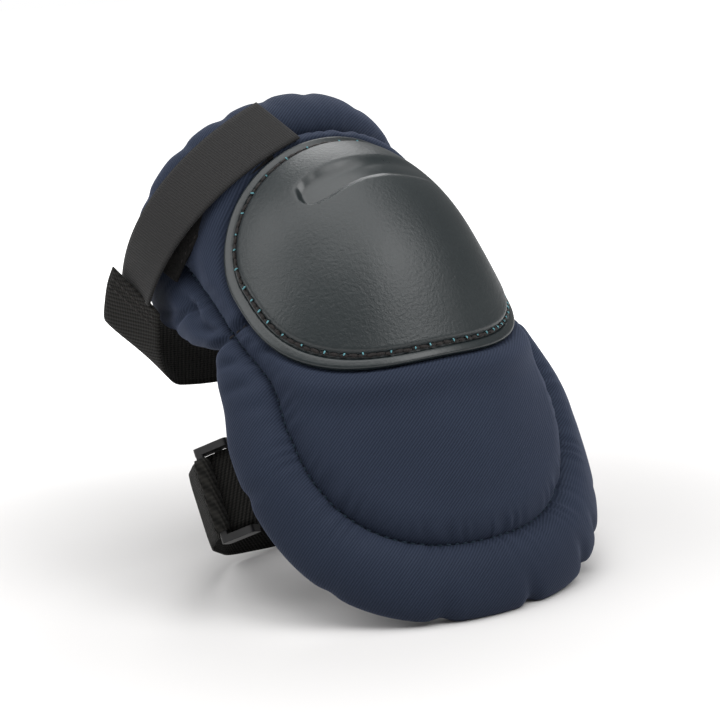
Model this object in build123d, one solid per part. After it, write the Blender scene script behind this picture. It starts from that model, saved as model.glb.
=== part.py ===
from build123d import *
from math import atan2, cos, degrees, exp, hypot, pi, radians, sin
import os

# A hard-cap knee pad that stands on its bottom rim and leans back on its lower strap.
#
# Everything soft lies on one curved middle surface, described by two lengths:
#   t runs up the middle of the pad from the bottom rim, along the leaning profile;
#   s runs sideways round the leg, from the middle of the pad.
# A third length h stands square to that surface, forwards when positive.

# ---------------- driving dimensions, millimetres and degrees ----------------
# profile of the pad: it leans back and bends at the knee
LEAN_LOW = 25.6
LEAN_HIGH = 49.5
BEND_START = 60.0
BEND_END = 240.0
# radius of the wrap round the leg, at the shin and above the knee
WRAP_LOW = 126.0
WRAP_HIGH = 67.0

# outer outline, as half widths, at the shin, the waist and above the knee
HALF_LOW = 106.5
HALF_WAIST = 102.0
HALF_HIGH = 120.0
LOWER_CENTRE = 110.0
LOWER_DROP = 109.0
WAIST_AT = 142.0
UPPER_CENTRE = 250.0
UPPER_RISE = 42.0
LOWER_POWER = 2.3
UPPER_POWER = 2.2
NOTCH_AT = 168.0
NOTCH_DEPTH = 13.0
NOTCH_REACH = 9.0

# height of the ground above the bottom end of the profile
GROUND = 1.6

# width of the padded rim, from its outer edge to the quilting seam
RIM_SIDE = 30.0
RIM_BOTTOM = 35.0
RIM_TOP = 28.0

# heights of the layers over the middle surface
RIM_THICK = 15.6
LINING = (-8.4, -7.4)
CORE = (-7.0, 6.6)
COVER = (7.1, 8.3)
LAYER_INSET = 1.0

# the flex line under the knee cap, and the wedge that lets the pad fold there
FLEX_AT = 114.0
FLEX_WEDGE = 13.0
FLEX_GAP = 0.8
SPLIT_GAP = 3.0

# knee cap
CAP_CENTRE = 188.0
CAP_HALF = 72.0
CAP_UP = 61.5
CAP_DOWN = 65.5
CAP_POWER_UP = 2.3
CAP_POWER_DOWN = 2.6
CAP_FLANGE_TOP = 11.6
CAP_WALL = 2.4
DOME_RISE = 14.5
DOME_SKEW = 0.55
DOME_POWER = 2.8
DOME_ROUND = 1.25
STITCH_REACH = 0.9
INSERT_EDGE = 0.78

# straps
WEB_WIDTH = 38.0
WEB_THICK = 1.6
LOWER_STRAP_AT = 97.0
LOWER_STRAP_EXIT = 105.0
SLIDER_TURN = (-97.5, 72.0)
UPPER_STRAP_AT = 240.0
UPPER_STRAP_DEPTH = 112.0
HEM_AT = (-87.0, 70.0)
PEEL_OFFSET = 1.4
SWING_AT = (57.0, 88.0)
SEWN_HEIGHT = (-12.0, -9.8)

# hook tab and the loop patch under it
TAB_TOP = (-16.0, 268.5)
TAB_LOW = (-103.0, 243.6)
TAB_WIDTH = 30.0
TAB_THICK = 1.2
TAB_HEIGHT = (12.2, 19.4)
PATCH_TOP = (-30.0, 262.0)
PATCH_LOW = (-96.0, 239.5)
PATCH_WIDTH = 28.0
PATCH_LAYER = (9.5, 10.9)

# strap slider
SLIDER_TALL = 47.0
SLIDER_LONG = 18.0
SLIDER_RAIL = 3.6
SLIDER_BAR = 4.0
SLIDER_BAR_THICK = 2.2
SLIDER_START = 5.0
WRAP_THICK = 1.3
CLEAR = 0.4

# thread
STITCH = (3.2, 0.9, 0.5)
TAPE_STITCH = (3.0, 0.6, 0.3)
QUILT_PITCH = 6.0
DART_PITCH = 4.0
CAP_PITCH = 14.0
TACK_STITCH = (2.4, 1.2, 0.5)
TACK_PITCH = 4.0
CAP_THREAD_CLEAR = 0.8

# larger than the whole pad, for the blocks that trim it
BEYOND = 400.0


# ---------------- the middle surface ----------------
def smooth(u):
    """Ease from 0 to 1 with flat ends."""
    u = min(max(u, 0.0), 1.0)
    return u * u * (3.0 - 2.0 * u)


def bend(t):
    return smooth((t - BEND_START) / (BEND_END - BEND_START))


def lean(t):
    return radians(LEAN_LOW + (LEAN_HIGH - LEAN_LOW) * bend(t))


def wrap_radius(t):
    return WRAP_LOW + (WRAP_HIGH - WRAP_LOW) * bend(t)


def profile(t, steps=120):
    """Depth and height of the profile at length t, by the midpoint rule."""
    step = t / steps
    leans = [lean((i + 0.5) * step) for i in range(steps)]
    return step * sum(sin(a) for a in leans), step * sum(cos(a) for a in leans)


def back_point(x, back, t):
    """A point at sideways x and distance back in the plane square to the profile at t."""
    y, z = profile(t)
    a = lean(t)
    return Vector(x, y + back * cos(a), z - back * sin(a))


def on_pad(s, t, h):
    """The point at (s, t) on the middle surface, raised by h."""
    radius = wrap_radius(t)
    turn = s / radius
    return back_point((radius + h) * sin(turn), radius - (radius + h) * cos(turn), t)


def cross_plane(t):
    """Plane square to the profile at t: its x runs sideways and its y runs back."""
    a = lean(t)
    return Plane(origin=back_point(0, 0, t), x_dir=(1, 0, 0), z_dir=(0, sin(a), cos(a)))


# ---------------- outlines in (s, t) ----------------
def super_point(angle, half, rise, power):
    """Point of a superellipse, with its angle from the upright."""
    across = half * abs(sin(angle)) ** (2 / power)
    up = rise * abs(cos(angle)) ** (2 / power)
    return (across if angle >= 0 else -across), up


def half_width(t, inset=0.0):
    """Half width of the pad between its lower and its upper end."""
    low = smooth((t - LOWER_CENTRE) / (WAIST_AT - LOWER_CENTRE))
    high = smooth((t - WAIST_AT) / (UPPER_CENTRE - WAIST_AT))
    width = HALF_LOW + (HALF_WAIST - HALF_LOW) * low + (HALF_HIGH - HALF_WAIST) * high
    notch = NOTCH_DEPTH * exp(-(((t - NOTCH_AT) / NOTCH_REACH) ** 2))
    return width - inset - (notch if inset < RIM_SIDE / 2 else 0.0)


def lower_outline(share, inset_side=0.0, inset_end=0.0):
    """Lower end: share runs from -1 on the left, through 0 at the bottom, to 1."""
    s, drop = super_point(share * pi / 2, HALF_LOW - inset_side, LOWER_DROP - inset_end, LOWER_POWER)
    return s, LOWER_CENTRE - drop


def upper_outline(share, inset_side=0.0, inset_end=0.0):
    """Upper end: share runs from -1 on the left, through 0 at the top, to 1."""
    s, rise = super_point(share * pi / 2, HALF_HIGH - inset_side, UPPER_RISE - inset_end, UPPER_POWER)
    return s, UPPER_CENTRE + rise


def cap_point(u, v, scale=1.0):
    """Map the square -1..1 to the cap's outline, centred on the cap."""
    across = u * (1 - v * v / 2) ** 0.5
    up = v * (1 - u * u / 2) ** 0.5
    reach = hypot(across, up)
    if reach == 0.0:
        return 0.0, CAP_CENTRE
    rise, power = (CAP_UP, CAP_POWER_UP) if up >= 0 else (CAP_DOWN, CAP_POWER_DOWN)
    edge = (abs(across / reach) ** power + abs(up / reach) ** power) ** (-1 / power)
    return scale * across * edge * CAP_HALF, CAP_CENTRE + scale * up * edge * rise


def cap_reach(s, t):
    """0 at the cap's centre and 1 on its outline."""
    up = t - CAP_CENTRE
    rise, power = (CAP_UP, CAP_POWER_UP) if up >= 0 else (CAP_DOWN, CAP_POWER_DOWN)
    return (abs(s / CAP_HALF) ** power + abs(up / rise) ** power) ** (1 / power)


def dome_height(s, t):
    """Height of the cap's outer face: a dome, fuller above, that runs out into a flat brim."""
    reach = min(cap_reach(s, t), 1.0)
    rise = DOME_RISE * (1 + DOME_SKEW * (t - CAP_CENTRE) / CAP_UP)
    return CAP_FLANGE_TOP + rise * (1 - reach**DOME_POWER) ** DOME_ROUND


# ---------------- solid builders ----------------
def raised(height, s, t):
    return height(s, t) if callable(height) else height


def pad_grid(cells, height):
    return [[on_pad(s, t, raised(height, s, t)) for s, t in row] for row in cells]


def closed_block(inner, outer):
    """Solid between two matching grids of points, closed by ruled walls."""
    faces = [Face.make_surface_from_array_of_points(inner), Face.make_surface_from_array_of_points(outer)]
    inner_edges = list(faces[0].edges())
    for edge in faces[1].edges():
        middle = edge @ 0.5
        partner = min(inner_edges, key=lambda other: (other @ 0.5 - middle).length)
        inner_edges.remove(partner)
        faces.append(Face.make_surface_from_curves(edge, partner))
    block = Solid(Shell(faces))
    return block if block.volume > 0 else Solid(block.wrapped.Reversed())


def slab(cells, low, high):
    """Layer of the pad between two heights, over a grid of (s, t) cells."""
    return closed_block(pad_grid(cells, low), pad_grid(cells, high))


def patch_cells(left, right, bottom, top, rows, columns):
    """Grid of (s, t) filling four boundary curves, each a function of 0..1."""
    cells = []
    for i in range(rows):
        v = i / (rows - 1)
        row = []
        for j in range(columns):
            u = j / (columns - 1)
            point = []
            for k in (0, 1):
                sides = (1 - u) * left(v)[k] + u * right(v)[k]
                ends = (1 - v) * bottom(u)[k] + v * top(u)[k]
                corners = (1 - v) * ((1 - u) * bottom(0)[k] + u * bottom(1)[k])
                corners += v * ((1 - u) * top(0)[k] + u * top(1)[k])
                point.append(sides + ends - corners)
            row.append(tuple(point))
        cells.append(row)
    return cells


def lower_cells(inset_side, inset_end, top):
    """Grid of the lower panel, from its rounded end up to t = top."""

    def edge(share):
        return lower_outline(share, inset_side, inset_end)

    width = edge(1)[0]

    def side(sign, v):
        s, t = edge(sign * (0.5 + 0.5 * v))
        return s, t + (top - LOWER_CENTRE) * v

    return patch_cells(
        lambda v: side(-1, v), lambda v: side(1, v),
        lambda u: edge(u - 0.5), lambda u: ((2 * u - 1) * width, top), 13, 15,
    )


def upper_cells(inset_side, inset_end, low):
    """Grid of the upper panel, from t = low up to its rounded end."""

    def side(sign, v):
        t = low + (UPPER_CENTRE - low) * min(v / 0.8, 1.0)
        if v <= 0.8:
            return sign * half_width(t, inset_side), t
        return upper_outline(sign * (1 - 0.5 * (v - 0.8) / 0.2), inset_side, inset_end)

    return patch_cells(
        lambda v: side(-1, v), lambda v: side(1, v),
        lambda u: ((2 * u - 1) * half_width(low, inset_side), low),
        lambda u: upper_outline(u - 0.5, inset_side, inset_end), 16, 15,
    )


def waist_cells(inset_side, low, top):
    """Grid of the band of pad between two heights."""
    rows = [low + (top - low) * i / 6 for i in range(7)]
    return [[(half_width(t, inset_side) * (j / 7 - 1), t) for j in range(15)] for t in rows]


def cap_cells(scale, count=17):
    ticks = [2 * i / (count - 1) - 1 for i in range(count)]
    return [[cap_point(u, v, scale) for u in ticks] for v in ticks]


def strip_cells(start, end, width, rows=5, columns=15):
    """Grid of a straight strip laid on the surface from start to end."""
    length = hypot(end[0] - start[0], end[1] - start[1])
    along = ((end[0] - start[0]) / length, (end[1] - start[1]) / length)
    cells = []
    for i in range(rows):
        side = width * (i / (rows - 1) - 0.5)
        ends = [length * j / (columns - 1) for j in range(columns)]
        first = (start[0] - along[1] * side, start[1] + along[0] * side)
        cells.append([(first[0] + along[0] * d, first[1] + along[1] * d) for d in ends])
    return cells


RIM_SECTION = [
    (0.02, -0.25), (0.02, 0.25), (0.26, 0.5), (0.74, 0.5),
    (0.98, 0.22), (0.98, -0.22), (0.74, -0.5), (0.26, -0.5),
]


def rim_roll(stations):
    """Padded roll whose stations are pairs of (s, t): on the seam and on the outer edge."""
    corners = []
    for share, height in RIM_SECTION:
        points = []
        for seam, edge in stations:
            s = seam[0] + (edge[0] - seam[0]) * share
            t = seam[1] + (edge[1] - seam[1]) * share
            points.append(on_pad(s, t, height * RIM_THICK))
        corners.append(points)
    lines = [Edge.make_spline(points) for points in corners]
    faces = [Face.make_surface_from_curves(lines[i - 1], lines[i]) for i in range(len(lines))]
    for end in (0, -1):
        faces.append(Face(Wire.make_polygon([points[end] for points in corners], close=True)))
    roll = Solid(Shell(faces))
    return roll if roll.volume > 0 else Solid(roll.wrapped.Reversed())


def lower_rim_stations(top):
    count = 29
    shares = [2 * i / (count - 1) - 1 for i in range(count)]
    stations = [(lower_outline(q, RIM_SIDE, RIM_BOTTOM), lower_outline(q)) for q in shares]
    ends = [tuple((s, top) for s, t in station) for station in (stations[0], stations[-1])]
    return [ends[0]] + stations[1:-1] + [ends[1]]


def side_stations(sign, low, top, count):
    heights = [low + (top - low) * i / (count - 1) for i in range(count)]
    return [((sign * half_width(t, RIM_SIDE), t), (sign * half_width(t), t)) for t in heights]


def upper_rim_stations(low):
    count = 17
    shares = [2 * i / (count - 1) - 1 for i in range(count)][1:-1]
    arch = [(upper_outline(q, RIM_SIDE, RIM_TOP), upper_outline(q)) for q in shares]
    left = side_stations(-1, low, UPPER_CENTRE, 8)
    right = side_stations(1, low, UPPER_CENTRE, 8)
    return left + arch + right[::-1]


def ribbon(plane, points, radius, width):
    """Flat webbing that follows a path in the plane, centred on it."""
    path = FilletPolyline(*points, radius=radius)
    outline = trace(path, line_width=WEB_THICK)
    band = extrude(plane * outline, amount=width / 2, both=True)
    return band.solids()[0] if len(band.solids()) == 1 else band


def stitch(at, along, normal, size=STITCH):
    place = Plane(origin=at, x_dir=along, z_dir=normal)
    return place * Box(*size)


def stitch_row(path, height, pitch, size=STITCH):
    """Stitches along a list of (s, t) points, lying on the surface at a height."""
    points = [on_pad(s, t, raised(height, s, t)) for s, t in path]
    stitches = []
    travelled = pitch / 2
    for i in range(len(points) - 1):
        span = points[i + 1] - points[i]
        s, t = path[i]
        normal = on_pad(s, t, 1.0) - on_pad(s, t, 0.0)
        side = normal.cross(span)
        while travelled < span.length:
            at = points[i] + span * (travelled / span.length)
            stitches.append(stitch(at, span, span.cross(side) * -1, size))
            travelled += pitch
        travelled -= span.length
    return Compound(children=stitches)


def curve_points(outline, start, end, count=60):
    return [outline(start + (end - start) * i / count) for i in range(count + 1)]


# ---------------- sub-parts: the padded body ----------------
def fold_cutter():
    """Everything below the plane that opens the fold under the cap."""
    place = Plane(
        origin=flex_point() + Vector(0, 0, FLEX_GAP),
        x_dir=(1, 0, 0),
        z_dir=(0, sin(lean(FLEX_AT) - radians(FLEX_WEDGE)), cos(lean(FLEX_AT) - radians(FLEX_WEDGE))),
    )
    return place * Pos(0, 0, -BEYOND / 2) * Box(BEYOND, BEYOND, BEYOND)


def flex_point():
    return back_point(0, -COVER[1] - 0.4, FLEX_AT)


def above_fold(solid):
    cut = solid - fold_cutter()
    return cut.solids()[0]


def above_ground(solid):
    """Flatten the underside where the pad stands."""
    return (solid - Pos(0, 0, GROUND - BEYOND / 2) * Box(BEYOND, BEYOND, BEYOND)).solids()[0]


def lower_layers():
    inner = (RIM_SIDE + LAYER_INSET, RIM_BOTTOM + LAYER_INSET, FLEX_AT)
    cells = lower_cells(*inner)
    return {
        "lower_back_lining": slab(cells, *LINING),
        "lower_foam_core": slab(cells, *CORE),
        "lower_front_cover": slab(cells, *COVER),
        "lower_rim_roll": above_ground(rim_roll(lower_rim_stations(FLEX_AT))),
    }


def waist_layers():
    low = FLEX_AT - SPLIT_GAP
    top = NOTCH_AT - SPLIT_GAP
    cells = waist_cells(RIM_SIDE + LAYER_INSET, low, top)
    parts = {
        "waist_back_lining": slab(cells, *LINING),
        "waist_foam_core": slab(cells, *CORE),
        "waist_front_cover": slab(cells, *COVER),
    }
    for name, sign in (("waist_rim_left", -1), ("waist_rim_right", 1)):
        parts[name] = rim_roll(side_stations(sign, low, top, 7))
    return {name: above_fold(solid) for name, solid in parts.items()}


def upper_layers():
    cells = upper_cells(RIM_SIDE + LAYER_INSET, RIM_TOP + LAYER_INSET, NOTCH_AT)
    return {
        "upper_back_lining": slab(cells, *LINING),
        "upper_foam_core": slab(cells, *CORE),
        "upper_front_cover": slab(cells, *COVER),
        "upper_rim_roll": rim_roll(upper_rim_stations(NOTCH_AT + SPLIT_GAP)),
    }


def knee_cap_shell():
    return slab(cap_cells(1.0), lambda s, t: dome_height(s, t) - CAP_WALL, dome_height)


def knee_foam_insert():
    low = COVER[1] + 2 * CLEAR
    return slab(cap_cells(INSERT_EDGE), low, lambda s, t: dome_height(s, t) - CAP_WALL - CLEAR)


# ---------------- sub-parts: thread ----------------
def seam_rows():
    height = COVER[1] + CLEAR + STITCH[2] / 2
    lower = curve_points(lambda q: lower_outline(q, RIM_SIDE, RIM_BOTTOM), -0.98, 0.98)
    arch = curve_points(lambda q: upper_outline(q, RIM_SIDE, RIM_TOP), -0.98, 0.98)
    left = [(-half_width(t, RIM_SIDE), t) for t in range(int(NOTCH_AT) + 6, int(UPPER_CENTRE), 5)]
    right = [(-s, t) for s, t in left]
    return {
        "lower_quilt_stitches": stitch_row(lower, height, QUILT_PITCH),
        "upper_quilt_stitches": stitch_row(left + arch + right[::-1], height, QUILT_PITCH),
    }


def waist_seam_stitches():
    """Short rows that close the dart on each side of the cap."""
    height = COVER[1] + CLEAR + STITCH[2] / 2
    inner = CAP_HALF + 4.0
    outer = half_width(NOTCH_AT, RIM_SIDE) + 8.0
    rows = []
    for sign in (-1, 1):
        path = [(sign * inner, NOTCH_AT - 1.0), (sign * outer, NOTCH_AT - 1.0)]
        rows += list(stitch_row(path, height, DART_PITCH).children)
    return Compound(children=rows)


def cap_stitches():
    path = []
    for i in range(97):
        angle = 2 * pi * i / 96
        rise, power = (CAP_UP, CAP_POWER_UP) if cos(angle) >= 0 else (CAP_DOWN, CAP_POWER_DOWN)
        s, up = super_point(angle if angle <= pi else angle - 2 * pi, CAP_HALF, rise, power)
        up = up if cos(angle) >= 0 else -up
        path.append((STITCH_REACH * s, CAP_CENTRE + STITCH_REACH * up))
    return stitch_row(path, lambda s, t: dome_height(s, t) + CAP_THREAD_CLEAR + STITCH[2] / 2, CAP_PITCH)


# ---------------- sub-parts: straps ----------------
def sewn_height(t):
    """A strap is straight across its width, so it clears the bent shin half by more."""
    return SEWN_HEIGHT[0] if t < NOTCH_AT else SEWN_HEIGHT[1]


def inside_points(sign, t, s_from, s_to, count):
    """Points in the cross plane along the inner face of the pad."""
    radius = wrap_radius(t)
    points = []
    for i in range(count):
        turn = sign * (s_from + (s_to - s_from) * i / (count - 1)) / radius
        reach = radius + sewn_height(t)
        points.append((reach * sin(turn), radius - reach * cos(turn)))
    return points


def lower_strap_depth():
    """Depth at which the slanted strap's lower edge just meets the ground."""
    a = lean(LOWER_STRAP_AT)
    height = profile(LOWER_STRAP_AT)[1] - WEB_WIDTH / 2 * cos(a) - GROUND
    return height / sin(a) - WEB_THICK / 2


def lower_strap():
    deep = lower_strap_depth()
    sewn = inside_points(-1, LOWER_STRAP_AT, 60, LOWER_STRAP_EXIT, 5)
    left = sewn + [SLIDER_TURN, (-87, 104), (-62, deep - 8), (-30, deep)]
    points = left + [(-x, back) for x, back in left[::-1]]
    return ribbon(cross_plane(LOWER_STRAP_AT), points, 5.0, WEB_WIDTH)


def upper_strap():
    deep = UPPER_STRAP_DEPTH
    points = [(SWING_AT[0], SWING_AT[1] + 0.6), (56, deep), (-76, deep), (HEM_AT[0] + 0.6, 98), HEM_AT]
    return ribbon(cross_plane(UPPER_STRAP_AT), points, 6.0, WEB_WIDTH)


def upper_strap_sewn_end():
    points = inside_points(1, UPPER_STRAP_AT, 72, 112, 5) + [(SWING_AT[0], SWING_AT[1] - 0.6)]
    return ribbon(cross_plane(UPPER_STRAP_AT), points, 4.0, WEB_WIDTH)


def bar_tack(sign, t, s_at):
    """Zigzag tack across a sewn strap end."""
    height = sewn_height(t) - WEB_THICK / 2 - 3 * CLEAR
    rows = []
    for shift in (0.0, 7.0):
        s = sign * (s_at + shift)
        path = [(s, t - WEB_WIDTH / 2 + 3), (s, t + WEB_WIDTH / 2 - 3)]
        rows += list(stitch_row(path, height, TACK_PITCH, TACK_STITCH).children)
    return rows


def strap_tacks():
    lower = bar_tack(-1, LOWER_STRAP_AT, 64) + bar_tack(1, LOWER_STRAP_AT, 64)
    return {
        "lower_strap_tacks": Compound(children=lower),
        "upper_strap_tacks": Compound(children=bar_tack(1, UPPER_STRAP_AT, 76)),
    }


def tab_height(s, t):
    """The tab lies low at its free end and rises over the rim to the hem."""
    share = smooth((TAB_TOP[0] - s) / (TAB_TOP[0] - TAB_LOW[0]))
    return TAB_HEIGHT[0] + (TAB_HEIGHT[1] - TAB_HEIGHT[0]) * share


def hook_tab():
    cells = strip_cells(TAB_TOP, TAB_LOW, TAB_WIDTH)
    return slab(cells, tab_height, lambda s, t: tab_height(s, t) + TAB_THICK)


def loop_patch():
    return slab(strip_cells(PATCH_TOP, PATCH_LOW, PATCH_WIDTH), *PATCH_LAYER)


def loop_patch_stitches():
    height = PATCH_LAYER[1] + CLEAR
    ends = strip_cells(PATCH_TOP, PATCH_LOW, PATCH_WIDTH - 4.0, 2, 15)
    rows = list(stitch_row(ends[0], height, QUILT_PITCH, TAPE_STITCH).children)
    rows += list(stitch_row(ends[1], height, QUILT_PITCH, TAPE_STITCH).children)
    return Compound(children=rows)


def hem_stitches():
    """Two rows across the hem where the elastic is sewn to the hook tab."""
    plane = cross_plane(UPPER_STRAP_AT)
    outside = HEM_AT[0] - WEB_THICK / 2 - 0.35
    stitches = []
    for back in (HEM_AT[1] + 2.5, HEM_AT[1] + 7.5):
        for i in range(9):
            along = -WEB_WIDTH / 2 + 3 + 4 * i
            stitches.append(plane * Pos(outside, back, along) * Box(0.5, 0.9, 2.6))
    return Compound(children=stitches)


# ---------------- sub-parts: strap slider ----------------
def slider_place():
    """Where the slider's own frame lies: x through the strap, y along it, z across it."""
    start = inside_points(-1, LOWER_STRAP_AT, 60, LOWER_STRAP_EXIT, 2)[-1]
    along = (SLIDER_TURN[0] - start[0], SLIDER_TURN[1] - start[1])
    tilt = degrees(atan2(-along[0], along[1]))
    return cross_plane(LOWER_STRAP_AT) * Pos(start[0], start[1], 0) * Rot(0, 0, tilt)


def slider_bars():
    """Centres of the far, middle and near bars; the far bar is outside the strap."""
    outer = -WEB_THICK / 2 - 2 * CLEAR - WRAP_THICK - SLIDER_BAR_THICK / 2
    inner = WEB_THICK / 2 + CLEAR + SLIDER_BAR_THICK / 2
    far = SLIDER_START + SLIDER_LONG - SLIDER_BAR / 2 - 0.6
    middle = SLIDER_START + SLIDER_LONG / 2 - 0.5
    return [(outer, far), (inner, middle), (inner, SLIDER_START + SLIDER_BAR / 2)]


def slider_frame():
    """Stepped slider: the strap passes under its far bar and over the other two."""
    bars = slider_bars()
    low = bars[0][0] - SLIDER_BAR_THICK / 2
    high = bars[1][0] + SLIDER_BAR_THICK / 2
    rail = Box(high - low, SLIDER_LONG, SLIDER_RAIL)
    rail = fillet(rail.edges().filter_by(Axis.Z), 1.6)
    rail_z = SLIDER_TALL / 2 - SLIDER_RAIL / 2
    rail_at = ((low + high) / 2, SLIDER_START + SLIDER_LONG / 2)
    frame = Pos(*rail_at, rail_z) * rail + Pos(*rail_at, -rail_z) * rail
    bar = Box(SLIDER_BAR_THICK, SLIDER_BAR, SLIDER_TALL - SLIDER_RAIL)
    bar = fillet(bar.edges().filter_by(Axis.Z), 0.7)
    for x, along in bars:
        frame += Pos(x, along, 0) * bar
    return slider_place() * frame


def slider_wrap():
    """End of the elastic, folded round the slider's far bar and hemmed."""
    x, along = slider_bars()[0]
    gap = CLEAR / 2
    hole = Box(SLIDER_BAR_THICK + 2 * gap, SLIDER_BAR + 2 * gap, WEB_WIDTH)
    wrap = Box(SLIDER_BAR_THICK + 2 * WRAP_THICK, SLIDER_BAR + 2 * WRAP_THICK + 2 * gap, WEB_WIDTH - 2)
    wrap = fillet(wrap.edges().filter_by(Axis.Z), 1.2)
    return slider_place() * Pos(x, along, 0) * (wrap - hole)


# ---------------- assembly ----------------
def build():
    parts = {}
    parts.update(lower_layers())
    parts.update(waist_layers())
    parts.update(upper_layers())
    parts["knee_cap_shell"] = knee_cap_shell()
    parts["knee_foam_insert"] = knee_foam_insert()
    parts["cap_stitches"] = cap_stitches()
    parts.update(seam_rows())
    parts["waist_seam_stitches"] = waist_seam_stitches()
    parts["lower_strap"] = lower_strap()
    parts["upper_strap"] = upper_strap()
    parts["upper_strap_sewn_end"] = upper_strap_sewn_end()
    parts.update(strap_tacks())
    parts["hook_tab"] = hook_tab()
    parts["loop_patch"] = loop_patch()
    parts["loop_patch_stitches"] = loop_patch_stitches()
    parts["hem_stitches"] = hem_stitches()
    parts["slider_frame"] = slider_frame()
    parts["slider_wrap"] = slider_wrap()
    return parts


def shift_to_base(parts):
    """Move that puts the middle of the base of the whole pad at the origin."""
    boxes = [part.bounding_box() for part in parts.values()]
    low = [min(getattr(b.min, axis) for b in boxes) for axis in "XYZ"]
    high = [max(getattr(b.max, axis) for b in boxes) for axis in "XYZ"]
    return Vector(-(low[0] + high[0]) / 2, -(low[1] + high[1]) / 2, -low[2])


def main():
    parts = build()
    move = shift_to_base(parts)
    os.makedirs("parts", exist_ok=True)
    for name, part in parts.items():
        export_step(Pos(move) * part, f"parts/{name}.step")
    along = slider_place() * Pos(0, 1, 0)
    print("knee flex pivot", flex_point() + move)
    print("upper strap swing pivot", back_point(*SWING_AT, UPPER_STRAP_AT) + move)
    print("hook tab peel pivot", back_point(HEM_AT[0] - PEEL_OFFSET, HEM_AT[1], UPPER_STRAP_AT) + move)
    print("slider axis", along.position - slider_place().position)


main()
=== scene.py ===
import math
import random

import bmesh
import bpy
import numpy as np
from mathutils import Matrix, Vector


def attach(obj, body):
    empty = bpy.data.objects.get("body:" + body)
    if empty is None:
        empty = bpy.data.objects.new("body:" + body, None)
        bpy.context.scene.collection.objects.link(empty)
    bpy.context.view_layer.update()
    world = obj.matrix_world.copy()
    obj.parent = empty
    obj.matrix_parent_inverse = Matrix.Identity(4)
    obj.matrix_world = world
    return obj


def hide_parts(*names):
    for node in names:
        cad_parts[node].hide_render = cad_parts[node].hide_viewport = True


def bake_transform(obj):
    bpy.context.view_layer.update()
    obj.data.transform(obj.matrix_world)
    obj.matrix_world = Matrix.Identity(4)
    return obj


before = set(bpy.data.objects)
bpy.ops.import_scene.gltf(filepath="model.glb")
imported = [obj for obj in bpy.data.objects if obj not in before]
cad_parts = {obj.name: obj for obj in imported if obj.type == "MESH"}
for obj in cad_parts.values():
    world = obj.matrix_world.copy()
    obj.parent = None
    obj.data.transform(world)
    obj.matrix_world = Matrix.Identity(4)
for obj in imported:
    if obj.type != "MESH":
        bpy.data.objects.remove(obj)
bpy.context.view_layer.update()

# A hard-cap knee pad, standing on its bottom rim and leaning back on its lower strap.
#
# Soft parts are placed as in part.py, by lengths in millimetres on the pad's middle surface:
#   t runs up the middle of the pad, s runs sideways round the leg, h stands square to it.

MM = 0.001
PAD_ORIGIN = np.array([1.726772, -109.753, -1.6])

# ---------------- dimensions shared with part.py ----------------
LEAN_LOW = 25.6
LEAN_HIGH = 49.5
BEND_START = 60.0
BEND_END = 240.0
WRAP_LOW = 126.0
WRAP_HIGH = 67.0
HALF_LOW = 106.5
HALF_WAIST = 102.0
HALF_HIGH = 120.0
LOWER_CENTRE = 110.0
LOWER_DROP = 109.0
WAIST_AT = 142.0
UPPER_CENTRE = 250.0
UPPER_RISE = 42.0
LOWER_POWER = 2.3
UPPER_POWER = 2.2
RIM_SIDE = 30.0
RIM_BOTTOM = 35.0
RIM_TOP = 28.0
CAP_CENTRE = 188.0
CAP_HALF = 72.0
CAP_DOWN = 65.5
DOME_RISE = 14.5
DOME_SKEW = 0.55
DOME_ROUND = 1.25
WEB_WIDTH = 38.0
WEB_THICK = 1.6
LOWER_STRAP_AT = 97.0
LOWER_STRAP_EXIT = 105.0
SLIDER_TURN = (-97.5, 72.0)
UPPER_STRAP_AT = 240.0
HEM_AT = (-87.0, 70.0)
SWING_AT = (57.0, 88.0)
SEWN_HEIGHT = (-12.0, -9.8)
LOWER_TACK_AT = 64.0
UPPER_TACK_AT = 76.0
SLIDER_BAR_AT = (-4.00, 20.40)
SLIDER_BAR_HOLE = (1.30, 2.20)
WRAP_THICK = 1.3
TAB_TOP = (-16.0, 268.5)
TAB_LOW = (-103.0, 243.6)
TAB_WIDTH = 30.0
TAB_THICK = 1.2
TAB_HEIGHT = (12.2, 19.4)
PATCH_TOP = (-30.0, 262.0)
PATCH_LOW = (-96.0, 239.5)
PATCH_WIDTH = 28.0

# ---------------- dimensions of the visible shapes alone ----------------
# The cap is a little taller and fuller at its corners than the CAD cap, and its dome rounder.
CAP_UP = 65.0
CAP_POWER_UP = 2.05
CAP_POWER_DOWN = 2.9
DOME_POWER = 2.15
# The rim: its notch at the dart, and how far its sides are drawn in or let out.
NOTCH_AT = 174.0
SIDE_REACH = 18.0
NOTCH_DEPTH = 3.0
NOTCH_REACH = 4.5
RIM_CREST = 9.2
SIDE_TUCK = 9.0
SEAM_SPREAD = 7.0
WING_SWELL = 16.0
WING_AT = 240.0
WING_REACH = 17.0
WAIST_TUCK = 11.0
WAIST_TUCK_AT = 188.0
WAIST_TUCK_REACH = 34.0
SHIN_SWELL = 5.5
PUCKER = 0.8
PUCKER_PITCH = 8.0
RIM_BACK = -8.0
SEAM_FRONT = 1.6
SEAM_BACK = -5.6
PANEL_CREST = 9.6
PANEL_CROWN = 1.6
PANEL_SHOULDER = 15.0
UNDER_CAP = 8.6
CAP_SWELL = 3.2
DART_DEPTH = 6.5
RECESS_DEPTH = 3.9
DART_REACH = 3.4
FLANGE_WIDTH = 5.0
FLANGE_TOP = 11.6
FLANGE_BASE = 9.2
FLEX_BAND = (96.0, 134.0)
STATIONS = 520
CORE_GAP = (166.0, 170.0)
STATION_PITCH = 1.55
CORD_PITCH = 1.15
HOOK_ROW_PITCH = 1.05
HOOK_PITCH = 0.9
TAB_TAIL = (-109.5, 241.7)
TAB_FOLD = (-0.004, 0.022)
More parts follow.
